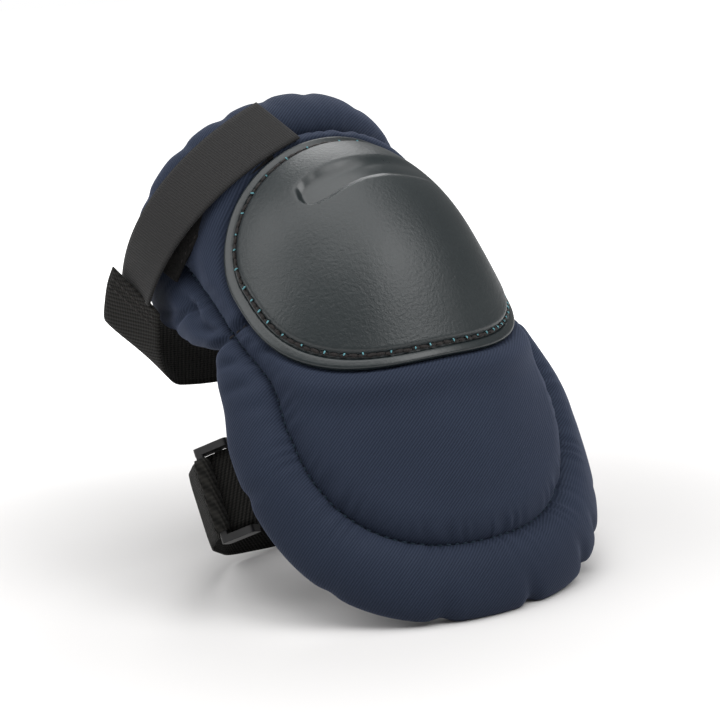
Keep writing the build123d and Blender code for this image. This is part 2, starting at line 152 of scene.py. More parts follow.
PILE_TOP = (-30.0, 263.4)
PILE_LOW = (-97.0, 241.4)
PILE_BASE = 9.4
PILE_THICK = 1.6
CAP_THICK = 2.4
PANEL_THICK = 0.9
STRAP_BLEND = 0.018

rng = random.Random(7)


# ---------------- the middle surface ----------------
def smooth(u):
    u = np.clip(u, 0.0, 1.0)
    return u * u * (3.0 - 2.0 * u)


def hill(x, centre, reach):
    """Smooth rise to 1 at the centre, nearly gone at twice the reach."""
    return np.exp(-(((x - centre) / reach) ** 2))


def bend(t):
    return smooth((t - BEND_START) / (BEND_END - BEND_START))


def lean(t):
    return np.radians(LEAN_LOW + (LEAN_HIGH - LEAN_LOW) * bend(t))


def wrap_radius(t):
    return WRAP_LOW + (WRAP_HIGH - WRAP_LOW) * bend(t)


def profile_table(low=-30.0, high=330.0, step=0.5):
    """Depth and height of the profile, measured from t = 0."""
    t = np.arange(low, high, step)
    depth = np.cumsum(np.sin(lean(t + step / 2))) * step
    height = np.cumsum(np.cos(lean(t + step / 2))) * step
    t = t + step
    return t, depth - np.interp(0.0, t, depth), height - np.interp(0.0, t, height)


PROFILE = profile_table()


def back_point(x, back, t):
    """Row-frame point, in metres, at sideways x and distance back in the plane square to the profile."""
    t = np.asarray(t, float)
    y = np.interp(t, PROFILE[0], PROFILE[1]) + back * np.cos(lean(t))
    z = np.interp(t, PROFILE[0], PROFILE[2]) - back * np.sin(lean(t))
    x, y, z = np.broadcast_arrays(np.asarray(x, float), y, z)
    return (np.stack([x, y, z], -1) + PAD_ORIGIN) * MM


def up_at(t):
    """One millimetre up the pad's profile at t, in metres."""
    tilt = float(lean(np.array(t)))
    return np.array([0.0, math.sin(tilt), math.cos(tilt)]) * MM


def on_pad(s, t, h):
    """Row-frame point, in metres, at (s, t) on the middle surface and raised by h."""
    radius = wrap_radius(np.asarray(t, float))
    turn = s / radius
    return back_point((radius + h) * np.sin(turn), radius - (radius + h) * np.cos(turn), t)


# ---------------- outlines ----------------
def half_width(t, inset=0.0):
    low = smooth((t - LOWER_CENTRE) / (WAIST_AT - LOWER_CENTRE))
    high = smooth((t - WAIST_AT) / (UPPER_CENTRE - WAIST_AT))
    width = HALF_LOW + (HALF_WAIST - HALF_LOW) * low + (HALF_HIGH - HALF_WAIST) * high
    return width - inset


def rim_side(t):
    """Width of the rim beside the panel: narrower at the waist."""
    return RIM_SIDE - SEAM_SPREAD * hill(t, 166.0, 34.0)


def waist_tuck(t):
    """How far the right side is pulled in between the cap and the strap's anchor."""
    return WAIST_TUCK * hill(t, WAIST_TUCK_AT, WAIST_TUCK_REACH)


def notch(t, side):
    """How far the rim's edge is drawn in at the waist."""
    tuck = NOTCH_DEPTH * hill(t, NOTCH_AT, NOTCH_REACH)
    tuck = tuck + SIDE_TUCK * hill(t, NOTCH_AT, SIDE_REACH)
    if side < 0:
        return tuck - WING_SWELL * hill(t, WING_AT, WING_REACH)
    shin = SHIN_SWELL * smooth((145.0 - t) / 40.0)
    return tuck + waist_tuck(t) - shin


def outline_pair(u):
    """Seam point and edge point of the rim at u, 0..1 once round the pad from the bottom middle."""
    side = 1.0 if u <= 0.5 else -1.0
    u = 2 * u if u <= 0.5 else 2 * (1 - u)
    low_share = 0.40
    mid_share = 0.74
    if u < low_share:
        angle = u / low_share * math.pi / 2
        pair = []
        swell = SHIN_SWELL if side > 0 else 0.0
        seam_size = (HALF_LOW - RIM_SIDE, LOWER_DROP - RIM_BOTTOM)
        for half, drop in (seam_size, (HALF_LOW + swell, LOWER_DROP)):
            s = half * math.sin(angle) ** (2 / LOWER_POWER)
            pair.append((side * s, LOWER_CENTRE - drop * math.cos(angle) ** (2 / LOWER_POWER)))
        return pair
    if u < mid_share:
        t = LOWER_CENTRE + (UPPER_CENTRE - LOWER_CENTRE) * (u - low_share) / (mid_share - low_share)
        seam = half_width(t) - rim_side(t)
        if side > 0:
            seam = seam - 0.5 * waist_tuck(t)
        return [(side * seam, t), (side * (half_width(t) - notch(t, side)), t)]
    angle = (1 - (u - mid_share) / (1 - mid_share)) * math.pi / 2
    pair = []
    swell = notch(UPPER_CENTRE, side)
    seam_size = (HALF_HIGH - RIM_SIDE, UPPER_RISE - RIM_TOP)
    for half, rise in (seam_size, (HALF_HIGH - swell, UPPER_RISE)):
        s = half * math.sin(angle) ** (2 / UPPER_POWER)
        pair.append((side * s, UPPER_CENTRE + rise * max(math.cos(angle), 0.0) ** (2 / UPPER_POWER)))
    return pair


def even_stations(count):
    """Seam and edge points spaced evenly round the outer edge, as two arrays of (s, t)."""
    fine = 2400
    pairs = np.array([outline_pair(i / fine) for i in range(fine)])
    edge = np.vstack([pairs[:, 1], pairs[:1, 1]])
    seam = np.vstack([pairs[:, 0], pairs[:1, 0]])
    along = run_along(edge)
    at = np.linspace(0, along[-1], count, endpoint=False)
    return [np.stack([np.interp(at, along, curve[:, k]) for k in (0, 1)], -1) for curve in (seam, edge)]


def cap_reach(s, t):
    up = t - CAP_CENTRE
    rise = np.where(up >= 0, CAP_UP, CAP_DOWN)
    power = np.where(up >= 0, CAP_POWER_UP, CAP_POWER_DOWN)
    return (np.abs(s / CAP_HALF) ** power + np.abs(up / rise) ** power) ** (1 / power)


# ---------------- gentle unevenness ----------------
def run_along(points):
    """Distance along a polyline at each of its points."""
    return np.concatenate([[0], np.cumsum(np.linalg.norm(np.diff(points, axis=0), axis=1))])


def evenly(points, at):
    """Points of a polyline at the given distances along it."""
    along = run_along(points)
    return np.stack([np.interp(at, along, points[:, k]) for k in range(points.shape[1])], -1)


def ripple(x, y, seed, scale):
    """Smooth noise between about -1 and 1, from a few crossing waves."""
    draw = random.Random(seed)
    total = np.zeros(np.broadcast(x, y).shape)
    for _ in range(7):
        angle = draw.uniform(0, math.pi)
        pitch = scale * draw.uniform(0.7, 1.6)
        phase = draw.uniform(0, 2 * math.pi)
        total = total + np.sin((x * math.cos(angle) + y * math.sin(angle)) * 2 * math.pi / pitch + phase)
    return total / 3.2


# ---------------- mesh helpers ----------------
def make_mesh(name, points, faces, pad_coordinates=None):
    mesh = bpy.data.meshes.new(name)
    mesh.from_pydata([tuple(p) for p in points], [], [tuple(f) for f in faces])
    mesh.validate()
    if pad_coordinates is not None:
        attribute = mesh.attributes.new("pad", "FLOAT_VECTOR", "POINT")
        values = np.zeros((len(points), 3))
        values[:, : pad_coordinates.shape[1]] = pad_coordinates
        attribute.data.foreach_set("vector", values.astype(np.float32).ravel())
    mesh.update()
    obj = bpy.data.objects.new(name, mesh)
    bpy.context.scene.collection.objects.link(obj)
    for polygon in mesh.polygons:
        polygon.use_smooth = True
    return obj


def grid_faces(rows, columns, close_rows=False, close_columns=False, start=0):
    faces = []
    for i in range(rows if close_rows else rows - 1):
        for j in range(columns if close_columns else columns - 1):
            a = start + i * columns + j
            b = start + i * columns + (j + 1) % columns
            c = start + (i + 1) % rows * columns + (j + 1) % columns
            d = start + (i + 1) % rows * columns + j
            faces.append((a, b, c, d))
    return faces


def closed_grid(name, front, back, coordinates=None):
    """Closed sheet from matching front and back grids of points, joined all round."""
    rows, columns = front.shape[:2]
    count = rows * columns
    points = np.vstack([front.reshape(-1, 3), back.reshape(-1, 3)])
    faces = grid_faces(rows, columns)
    faces += [tuple(reversed(f)) for f in grid_faces(rows, columns, start=count)]
    rim = list(range(columns))
    rim += [i * columns + columns - 1 for i in range(1, rows)]
    rim += [(rows - 1) * columns + j for j in range(columns - 2, -1, -1)]
    rim += [i * columns for i in range(rows - 2, 0, -1)]
    for k, a in enumerate(rim):
        b = rim[(k + 1) % len(rim)]
        faces.append((b, a, a + count, b + count))
    if coordinates is not None:
        coordinates = np.vstack([coordinates.reshape(-1, 2)] * 2)
    return make_mesh(name, points, faces, coordinates)


# ---------------- materials ----------------
class Nodes:
    """Short way to build a material's node tree."""

    def __init__(self, name):
        self.material = bpy.data.materials.new(name)
        self.material.use_nodes = True
        self.tree = self.material.node_tree
        self.shader = self.tree.nodes["Principled BSDF"]

    def new(self, kind, **settings):
        node = self.tree.nodes.new(kind)
        for key, value in settings.items():
            if hasattr(node, key):
                setattr(node, key, value)
            else:
                node.inputs[key.replace("_", " ")].default_value = value
        return node

    def link(self, source, target):
        self.tree.links.new(source, target)

    def attribute(self, name):
        return self.new("ShaderNodeAttribute", attribute_name=name).outputs["Vector"]

    def object_space(self):
        return self.new("ShaderNodeTexCoord").outputs["Object"]

    def noise(self, vector, scale, detail=4.0, rough=0.6):
        node = self.new("ShaderNodeTexNoise", Scale=scale, Detail=detail, Roughness=rough)
        self.link(vector, node.inputs["Vector"])
        return node.outputs["Fac"]

    def math(self, operation, first, second=None, clamp=False):
        node = self.new("ShaderNodeMath", operation=operation, use_clamp=clamp)
        for socket, value in zip(node.inputs, (first, second)):
            if value is None:
                continue
            if isinstance(value, (int, float)):
                socket.default_value = value
            else:
                self.link(value, socket)
        return node.outputs[0]

    def total(self, *parts):
        """Weighted sum of sockets, each given as (socket, weight)."""
        parts = [self.math("MULTIPLY", socket, weight) for socket, weight in parts]
        result = parts[0]
        for part in parts[1:]:
            result = self.math("ADD", result, part)
        return result

    def half_up(self, wave):
        """A wave between -1 and 1, brought to 0..1."""
        return self.math("ADD", self.math("MULTIPLY", wave, 0.5), 0.5)

    def ribs(self, place, pitch):
        """Sine ribs at a pitch along one direction, 0..1."""
        return self.half_up(self.math("SINE", self.math("MULTIPLY", place, 2 * math.pi / pitch)))

    def ramp(self, factor, *stops):
        node = self.new("ShaderNodeValToRGB")
        elements = node.color_ramp.elements
        while len(elements) < len(stops):
            elements.new(0.5)
        for element, (position, colour) in zip(elements, stops):
            element.position = position
            element.color = (*colour, 1.0)
        self.link(factor, node.inputs["Fac"])
        return node.outputs["Color"]

    def range(self, factor, low, high):
        node = self.new("ShaderNodeMapRange", To_Min=low, To_Max=high)
        self.link(factor, node.inputs["Value"])
        return node.outputs[0]

    def bump(self, height, strength, distance, under=None):
        node = self.new("ShaderNodeBump", Strength=strength, Distance=distance)
        self.link(height, node.inputs["Height"])
        if under is not None:
            self.link(under, node.inputs["Normal"])
        return node.outputs["Normal"]

    def split(self, vector):
        node = self.new("ShaderNodeSeparateXYZ")
        self.link(vector, node.inputs[0])
        return node.outputs[0], node.outputs[1], node.outputs[2]

    def set(self, **values):
        for key, value in values.items():
            socket = self.shader.inputs[key.replace("_", " ")]
            if isinstance(value, bpy.types.NodeSocket):
                self.link(value, socket)
            else:
                socket.default_value = value



def twill_material(name, dark, light, pitch, depth, sheen_tint):
    """Woven polyester: diagonal twill lines broken by the yarns, with a soft sheen."""
    nodes = Nodes(name)
    place = nodes.attribute("pad")
    across, along, _ = nodes.split(place)
    wander = nodes.math("MULTIPLY", nodes.noise(place, 0.06, 2.0), 3.0)
    turns = 2 * math.pi / pitch
    diagonal = nodes.total((across, -0.64 * turns), (along, 0.77 * turns))
    diagonal = nodes.math("SINE", nodes.math("ADD", diagonal, wander))
    yarn = nodes.math("SINE", nodes.math("MULTIPLY", across, 1.3 * turns))
    pick = nodes.math("SINE", nodes.math("MULTIPLY", along, 1.3 * turns))
    threads = nodes.math("MULTIPLY", yarn, pick)
    weave = nodes.half_up(nodes.total((diagonal, 0.66), (threads, 0.34)))
    fleck = nodes.noise(place, 1.6, 3.0, 0.7)
    cloudy = nodes.noise(place, 0.018, 3.0)
    tone = nodes.total((weave, 0.50), (fleck, 0.30), (cloudy, 0.22))
    colour = nodes.ramp(tone, (0.28, dark), (0.82, light))
    rough = nodes.range(nodes.total((fleck, 0.5), (weave, 0.5)), 0.92, 0.70)
    normal = nodes.bump(weave, 0.4, depth * MM)
    normal = nodes.bump(fleck, 0.35, depth * MM * 0.8, normal)
    nodes.set(Base_Color=colour, Roughness=rough, Normal=normal)
    nodes.set(Sheen_Weight=0.10, Sheen_Roughness=0.45, Specular_IOR_Level=0.22)
    nodes.shader.inputs["Sheen Tint"].default_value = (*sheen_tint, 1.0)
    return nodes.material


def cap_material():
    """Moulded plastic: satin, fine orange peel, except in the polished recess."""
    nodes = Nodes("cap_plastic")
    place = nodes.object_space()
    polish = nodes.new("ShaderNodeAttribute", attribute_name="polish").outputs["Fac"]
    rough_part = nodes.math("SUBTRACT", 1.0, polish)
    peel = nodes.noise(place, 620.0, 2.0, 0.5)
    fine = nodes.noise(place, 1500.0, 2.0, 0.5)
    scuff = nodes.noise(place, 26.0, 5.0, 0.65)
    colour = nodes.ramp(
        nodes.total((peel, 0.5), (scuff, 0.5)),
        (0.30, (0.0065, 0.0105, 0.012)), (0.72, (0.013, 0.0185, 0.020)),
    )
    rough = nodes.range(scuff, 0.36, 0.47)
    rough = nodes.math("SUBTRACT", rough, nodes.math("MULTIPLY", polish, 0.13))
    grain = nodes.math("ADD", peel, nodes.math("MULTIPLY", fine, 0.4))
    height = nodes.math("MULTIPLY", grain, rough_part)
    nodes.set(Base_Color=colour, Roughness=rough, Normal=nodes.bump(height, 0.5, 0.35 * MM))
    nodes.set(Specular_IOR_Level=0.5)
    return nodes.material


def elastic_material(name, dark, light, pitch):
    """Knitted elastic: oblique ribs across the band, broken by the cover yarns."""
    nodes = Nodes(name)
    across, along, _ = nodes.split(nodes.attribute("pad"))
    turns = 2 * math.pi / pitch
    oblique = nodes.total((along, turns), (across, 0.55 * turns))
    rib = nodes.half_up(nodes.math("SINE", oblique))
    cords = nodes.ribs(across, CORD_PITCH)
    fuzz = nodes.noise(nodes.attribute("pad"), 2.2, 3.0, 0.7)
    height = nodes.total((rib, 0.7), (cords, 0.3))
    tone = nodes.total((height, 0.6), (fuzz, 0.4))
    nodes.set(Base_Color=nodes.ramp(tone, (0.25, dark), (0.85, light)))
    nodes.set(Roughness=nodes.range(fuzz, 0.95, 0.72))
    normal = nodes.bump(height, 0.9, 0.7 * MM)
    nodes.set(Normal=nodes.bump(fuzz, 0.4, 0.3 * MM, normal))
    nodes.set(Sheen_Weight=0.03, Sheen_Roughness=0.5, Specular_IOR_Level=0.12)
    return nodes.material


def tape_material():
    """Hook tape: close crosswise rows of fine hooks on a dark warm grey backing."""
    nodes = Nodes("hook_tape")
    across, along, _ = nodes.split(nodes.attribute("pad"))
    rows = nodes.ribs(along, HOOK_ROW_PITCH)
    hooks = nodes.ribs(across, HOOK_PITCH)
    grain = nodes.noise(nodes.attribute("pad"), 1.3, 4.0, 0.7)
    height = nodes.total((rows, 0.65), (hooks, 0.35))
    tone = nodes.total((height, 0.35), (grain, 0.65))
    colour = nodes.ramp(tone, (0.25, (0.0105, 0.0103, 0.0104)), (0.8, (0.026, 0.0254, 0.0254)))
    nodes.set(Base_Color=colour)
    nodes.set(Roughness=nodes.range(grain, 0.85, 0.65), Normal=nodes.bump(height, 0.6, 0.35 * MM))
    nodes.set(Sheen_Weight=0.04, Specular_IOR_Level=0.18)
    return nodes.material


def fuzzy_material(name, dark, light, scale):
    """Loop pile or foam: random fibres."""
    nodes = Nodes(name)
    place = nodes.object_space()
    fibre = nodes.noise(place, scale, 6.0, 0.75)
    lump = nodes.noise(place, scale * 0.2, 3.0)
    tone = nodes.total((fibre, 0.7), (lump, 0.3))
    nodes.set(Base_Color=nodes.ramp(tone, (0.35, dark), (0.7, light)))
    nodes.set(Roughness=nodes.range(fibre, 1.0, 0.8), Normal=nodes.bump(fibre, 0.9, 0.8 * MM))
    nodes.set(Sheen_Weight=0.03, Specular_IOR_Level=0.08)
    return nodes.material


def thread_material(name, dark, light):
    """Twisted sewing thread."""
    nodes = Nodes(name)
    place = nodes.object_space()
    twist = nodes.noise(place, 2400.0, 3.0, 0.6)
    nodes.set(Base_Color=nodes.ramp(twist, (0.35, dark), (0.65, light)))
    nodes.set(Roughness=nodes.range(twist, 0.75, 0.5), Normal=nodes.bump(twist, 0.6, 0.15 * MM))
    nodes.set(Sheen_Weight=0.05, Specular_IOR_Level=0.2)
    return nodes.material


def slider_material():
    nodes = Nodes("slider_plastic")
    place = nodes.object_space()
    grain = nodes.noise(place, 900.0, 3.0, 0.5)
    wear = nodes.noise(place, 60.0, 4.0, 0.6)
    nodes.set(Base_Color=nodes.ramp(wear, (0.35, (0.006, 0.006, 0.0065)), (0.7, (0.014, 0.014, 0.015))))
    nodes.set(Roughness=nodes.range(wear, 0.32, 0.5), Normal=nodes.bump(grain, 0.3, 0.2 * MM))
    nodes.set(Specular_IOR_Level=0.5)
    return nodes.material


def paint(obj, material):
    """Face the shell outwards and give it its material and slot."""
    shape = bmesh.new()
    shape.from_mesh(obj.data)
    bmesh.ops.recalc_face_normals(shape, faces=shape.faces)
    shape.to_mesh(obj.data)
    shape.free()
    obj.data.materials.clear()
    obj.data.materials.append(material)
    return obj


NAVY = twill_material(
    "navy_twill", dark=(0.0050, 0.0090, 0.0205), light=(0.0215, 0.0310, 0.0560),
    pitch=1.20, depth=0.30, sheen_tint=(0.55, 0.65, 1.0),
)
LINING = twill_material(
    "navy_lining", dark=(0.010, 0.012, 0.020), light=(0.022, 0.026, 0.042),
    pitch=0.9, depth=0.2, sheen_tint=(0.6, 0.65, 0.9),
)
CAP = cap_material()
ELASTIC = elastic_material("black_elastic", (0.0025, 0.0025, 0.0022), (0.019, 0.018, 0.016), 2.3)
TAPE = tape_material()
PILE = fuzzy_material("loop_pile", (0.003, 0.003, 0.003), (0.020, 0.019, 0.018), 900.0)
FOAM = fuzzy_material("charcoal_foam", (0.03, 0.03, 0.033), (0.07, 0.07, 0.075), 700.0)
NAVY_THREAD = thread_material("navy_thread", (0.006, 0.012, 0.022), (0.015, 0.035, 0.055))
TEAL_THREAD = thread_material("teal_thread", (0.05, 0.16, 0.19), (0.16, 0.38, 0.42))
BLACK_THREAD = thread_material("black_thread", (0.006, 0.005, 0.005), (0.024, 0.020, 0.019))
SLIDER = slider_material()


# ---------------- padded rim ----------------
SEAM, EDGE = even_stations(STATIONS)


def pucker_wave(along):
    """Uneven small gathers along a seam, by distance along it in mm."""
    turns = 2 * math.pi / PUCKER_PITCH
    size = 0.6 + 0.4 * np.sin(along * turns * 0.17)
    return np.sin(along * turns + 1.7 * np.sin(along * turns * 0.31)) * size


def wing_folds(s, t):
    """Folds in the cover beside the cap, where the elastic pulls on it, as shares of its height."""
    total = 0.0 * s
    for s_at, t_at, angle, width, length, depth in WING_FOLDS:
        u = (s - s_at) * math.cos(angle) + (t - t_at) * math.sin(angle)
        v = -(s - s_at) * math.sin(angle) + (t - t_at) * math.cos(angle)
        total = total - depth * hill(u, 0.0, width) * hill(v, 0.0, length)
    return total


# sideways, up, direction of the narrow side, half width, half length and depth of each fold
WING_FOLDS = [
    (-94.0, 208.0, 0.12, 2.8, 13.0, 0.66), (-101.0, 211.0, 1.35, 2.8, 8.0, 0.42),
    (-91.0, 188.0, 0.55, 2.8, 9.0, 0.50), (-79.0, 196.0, 0.10, 2.6, 13.0, 0.14),
    (-70.0, 155.0, 1.45, 2.6, 9.0, 0.30), (-88.0, 158.0, 1.10, 2.8, 9.0, 0.26),
    (-90.0, 143.0, 1.30, 3.0, 9.0, 0.20), (-110.0, 224.0, 0.70, 3.2, 12.0, 0.22),
    (84.0, 200.0, -0.35, 3.4, 15.0, 0.30), (86.0, 150.0, -1.2, 3.5, 12.0, 0.25),
    (-82.0, 127.0, 1.3, 3.2, 9.0, 0.14),
]


def rim_puckers(turn, across):
    """Gathers where the cover is pulled in along the outer edge: deeper towards the edge."""
    pull = np.zeros(np.broadcast(turn, across).shape)
    for centre, width, depth in RIM_GATHERS:
        away = np.abs((turn - centre + 0.5) % 1.0 - 0.5)
        pull = pull + depth * hill(away, 0.0, width)
    return pull * smooth((across - 0.35) / 0.6)


# share of the way round the pad from the bottom middle, half width and depth of each gather
RIM_GATHERS = [
    (0.012, 0.0045, 3.4), (0.060, 0.0050, 4.2), (0.085, 0.0040, 3.6), (0.115, 0.004, 1.2),
    (0.962, 0.0050, 2.2), (0.905, 0.005, 1.0), (0.842, 0.0045, 1.5),
    (0.735, 0.0050, 0.6), (0.716, 0.0050, 0.8), (0.694, 0.0050, 0.8), (0.752, 0.005, 0.5),
    (0.620, 0.005, 1.2), (0.592, 0.0045, 1.5), (0.560, 0.005, 1.8), (0.535, 0.0045, 1.8),
    (0.512, 0.0045, 1.6), (0.488, 0.0045, 1.4), (0.455, 0.005, 1.5), (0.40, 0.005, 1.2),
    (0.335, 0.004, 1.6), (0.300, 0.004, 1.8), (0.275, 0.004, 1.4), (0.22, 0.005, 1.0), (0.165, 0.005, 1.0),
]


def pad_rim():
    """Roll all round the pad: from the front seam over the crest, round the edge, to the back seam."""
    section = []
    for i in range(27):
        a = math.pi * i / 26
        across = 0.5 - 0.5 * math.cos(a)
        section.append((across, 1, math.sin(a)))
    for i in range(1, 26):
        a = math.pi * i / 26
        across = 0.5 + 0.5 * math.cos(a)
        section.append((across, -1, math.sin(a)))
    turn = np.arange(STATIONS) / STATIONS
    rows = []
    flat = []
    for across, side, lift in section:
        pull = rim_puckers(turn, across)
        length = np.hypot(*(EDGE - SEAM).T)
        share = across * (1 - pull / length)
        s = SEAM[:, 0] + (EDGE[:, 0] - SEAM[:, 0]) * share
        t = SEAM[:, 1] + (EDGE[:, 1] - SEAM[:, 1]) * share
        crease = hill(t, NOTCH_AT, 3.2)
        pinch = 1 - 0.60 * crease - 0.12 * hill(t, NOTCH_AT, 13.0)
        full = lift ** (0.78 + 0.55 * max(1 - 2.4 * across, 0.0))
        puff = 1 + 0.07 * ripple(s, t, 3, 46.0) + wing_folds(s, t)
        gather = PUCKER * pucker_wave(turn * STATIONS * STATION_PITCH)
        gather = gather * hill(across, 0.0, 0.26) * np.minimum(lift * 3, 1)
        if side > 0:
            level = SEAM_FRONT * (1 - across) + (RIM_CREST * puff * pinch - 0.5 * pull) * full + gather
        else:
            level = SEAM_BACK * (1 - across) + (RIM_BACK - SEAM_BACK * (1 - across)) * full * pinch
        rows.append(on_pad(s, t, level))
        flat.append(np.stack([s, t], -1))
    points = np.array(rows)
    points[..., 2] = np.maximum(points[..., 2], 0.0)
    coordinates = np.array(flat).reshape(-1, 2)
    faces = grid_faces(len(section), STATIONS, close_rows=True, close_columns=True)
    obj = make_mesh("pad_rim", points.reshape(-1, 3), faces, coordinates)
    return paint(obj, NAVY)


# ---------------- inner panels ----------------
def seam_distance(s, t):
    """Distance from points to the seam loop, in mm."""
    best = np.full(s.shape, 1e9)
    closed = np.vstack([SEAM, SEAM[:1]])
    for a, b in zip(closed[:-1], closed[1:]):
        d = b - a
        length = d @ d
        if length < 1e-9:
            continue
        share = np.clip(((s - a[0]) * d[0] + (t - a[1]) * d[1]) / length, 0, 1)
        best = np.minimum(best, np.hypot(s - a[0] - share * d[0], t - a[1] - share * d[1]))
    return best


def dart_middle(s):
    """Where the dart runs, at sideways s: it slopes up a little towards the cap."""
    return NOTCH_AT + 1.6 * np.clip((92 - np.abs(s)) / 18.0, 0, 1)


def panel_height(s, t):
    """Crowned front of the inner panel, pressed down under the cap and pulled in at the darts."""
    away = seam_distance(s, t)
    shoulder = np.clip(away / PANEL_SHOULDER, 0, 1)
    rise = (1 - (1 - shoulder) ** 2) ** 0.72
    level = SEAM_FRONT + (PANEL_CREST - SEAM_FRONT) * rise
    level = level + PANEL_CROWN * smooth((away - 8) / 45)
    level = level + 0.45 * ripple(s, t, 11, 60.0) * rise
    reach = cap_reach(s, t)
    beside = (reach - 1) * CAP_HALF
    level = level + CAP_SWELL * hill(beside, 9.0, 7.5) * rise
    pressed = smooth((1.045 - reach) / 0.045)
    level = level * (1 - pressed) + np.minimum(level, UNDER_CAP) * pressed
    dart = DART_DEPTH * hill(t, dart_middle(s), DART_REACH)
    level = level - dart * smooth((np.abs(s) - 62) / 8.0) * rise
    level = level + PANEL_CREST * wing_folds(s, t) * rise
    around = np.arctan2(s * 1.2, t - 150.0) * 95.0
    return level + PUCKER * pucker_wave(around) * hill(away, 4.0, 4.5)


def panel_grid(rows=190, columns=120):
    """Rows of (s, t) that fill the seam loop from bottom to top."""
    low, high = SEAM[:, 1].min() + 0.05, SEAM[:, 1].max() - 0.05
    sides = []
    for side in (-1, 1):
        edge = SEAM[SEAM[:, 0] * side >= 0]
        sides.append(edge[np.argsort(edge[:, 1])])
    ease = 0.5 - 0.5 * np.cos(np.linspace(0, np.pi, rows))
    t = low + (high - low) * (0.35 * np.linspace(0, 1, rows) + 0.65 * ease)
    left, right = (np.abs(np.interp(t, edge[:, 1], edge[:, 0])) for edge in sides)
    spread = np.sin(np.linspace(-np.pi / 2, np.pi / 2, columns))
    spread = 0.45 * np.linspace(-1, 1, columns) + 0.55 * spread
    half = np.where(spread[None, :] < 0, left[:, None], right[:, None])
    return half * spread[None, :], np.repeat(t[:, None], columns, 1)


def inner_panel():
    """Crowned front of the pad inside the quilting seam, closed underneath."""
    s, t = panel_grid()
    front = panel_height(s, t)
    under = on_pad(s, t, front - PANEL_THICK)
    obj = closed_grid("inner_panel", on_pad(s, t, front), under, np.stack([s, t], -1))
    return paint(obj, NAVY)


def back_lining():
    """Lining on the leg side: a thin quilted sheet, pulled in at the seam."""
    s, t = panel_grid(120, 80)
    away = seam_distance(s, t)
    shoulder = np.clip(away / 10.0, 0, 1)
    rise = np.sqrt(1 - (1 - shoulder) ** 2)
    level = SEAM_BACK - 2.6 * rise - 0.25 * ripple(s, t, 21, 40.0) * rise
    fold = 1.8 * hill(t, NOTCH_AT, 4.0) * smooth((np.abs(s) - 40) / 25)
    level = level + fold * rise
    inside = on_pad(s, t, level + PANEL_THICK)
    obj = closed_grid("back_lining", on_pad(s, t, level), inside, np.stack([s, t], -1))
    return paint(obj, LINING)


def foam_core(name, low, high):
    """Foam between the panel and the lining, over a range of t."""
    s, t = panel_grid(90, 60)
    keep = (t[:, 0] >= low) & (t[:, 0] <= high)
    s, t = s[keep] * 0.96, t[keep]
    top = panel_height(s, t) - 1.6
    away = seam_distance(s, t)
    bottom = SEAM_BACK - 1.2 * np.sqrt(1 - (1 - np.clip(away / 10.0, 0, 1)) ** 2)
    top = np.maximum(top, bottom + 0.4)
    obj = closed_grid(name, on_pad(s, t, top), on_pad(s, t, bottom), np.stack([s, t], -1))
    return paint(obj, FOAM)


# ---------------- knee cap ----------------
# the recess, from its left end to where it fades out: sideways, its lower and its upper edge
RECESS = [
    (-30.0, 211.0, 216.0), (-28.0, 207.0, 221.0), (-24.5, 205.0, 224.0), (-19.0, 205.4, 226.0),
    (-12.0, 208.2, 227.0), (-4.0, 210.0, 227.6), (6.0, 210.2, 228.0), (16.0, 209.6, 228.0),
    (34.0, 209.4, 227.0),
]


def recess_depth(s, t):
    """Smooth bean-shaped hollow near the top of the dome: 1 at its deepest."""
    table = np.array(RECESS)
    lower = np.interp(s, table[:, 0], table[:, 1])
    upper = np.interp(s, table[:, 0], table[:, 2])
    inside = np.minimum(np.clip((t - lower) / 3.2, 0, 1), np.clip((upper - t) / 8.0, 0, 1) ** 0.8)
    inside = inside * np.clip((s - table[0, 0]) / 3.0, 0, 1)
    fade = 0.42 + 0.58 * smooth((8.0 - s) / 24.0)
    return smooth(inside) * fade * smooth((34.0 - s) / 18.0)


def cap_level(s, t, reach):
    """Height of the cap's outer face: bead at the edge, groove, then the dome."""
    inner = np.clip(reach, 0, 1)
    rise = DOME_RISE * (1 + DOME_SKEW * (t - CAP_CENTRE) / CAP_UP)
    dome = FLANGE_TOP + rise * (1 - inner**DOME_POWER) ** DOME_ROUND
    inset = (1 - inner) * CAP_HALF * 0.93
    bead = np.clip(1 - np.abs((inset - FLANGE_WIDTH / 2) / (FLANGE_WIDTH / 2)) ** 4, 0, 1) ** 0.5
    flange = FLANGE_BASE + 0.9 + 1.9 * bead
    groove = 2.3 * hill(inset, FLANGE_WIDTH + 1.2, 1.3)
    share = smooth((inset - FLANGE_WIDTH + 0.4) / 1.6)
    return flange * (1 - share) + (dome - groove + 0.9) * share - RECESS_DEPTH * recess_depth(s, t)


def cap_ray(angle):
    """Outline point of the cap relative to its centre, at an angle from straight up."""
    across, up = math.sin(angle), math.cos(angle)
    rise, power = (CAP_UP, CAP_POWER_UP) if up >= 0 else (CAP_DOWN, CAP_POWER_DOWN)
    size = (abs(across / CAP_HALF) ** power + abs(up / rise) ** power) ** (-1 / power)
    return across * size, up * size


def cap_grid(shares, around, scale=1.0):
    """Grid of (s, t) on the cap, by shares of the way from its centre to its scaled outline."""
    rays = np.array([cap_ray(2 * math.pi * i / around) for i in range(around)]) * scale
    return shares[:, None] * rays[None, :, 0], CAP_CENTRE + shares[:, None] * rays[None, :, 1]


def cap_rings(count):
    """Shares of the way from the outline to the centre, close together at the edge."""
    edge = np.linspace(0, 0.16, 36)
    rest = np.linspace(0.16, 0.985, count - 36 + 1)[1:]
    return np.concatenate([edge, rest])


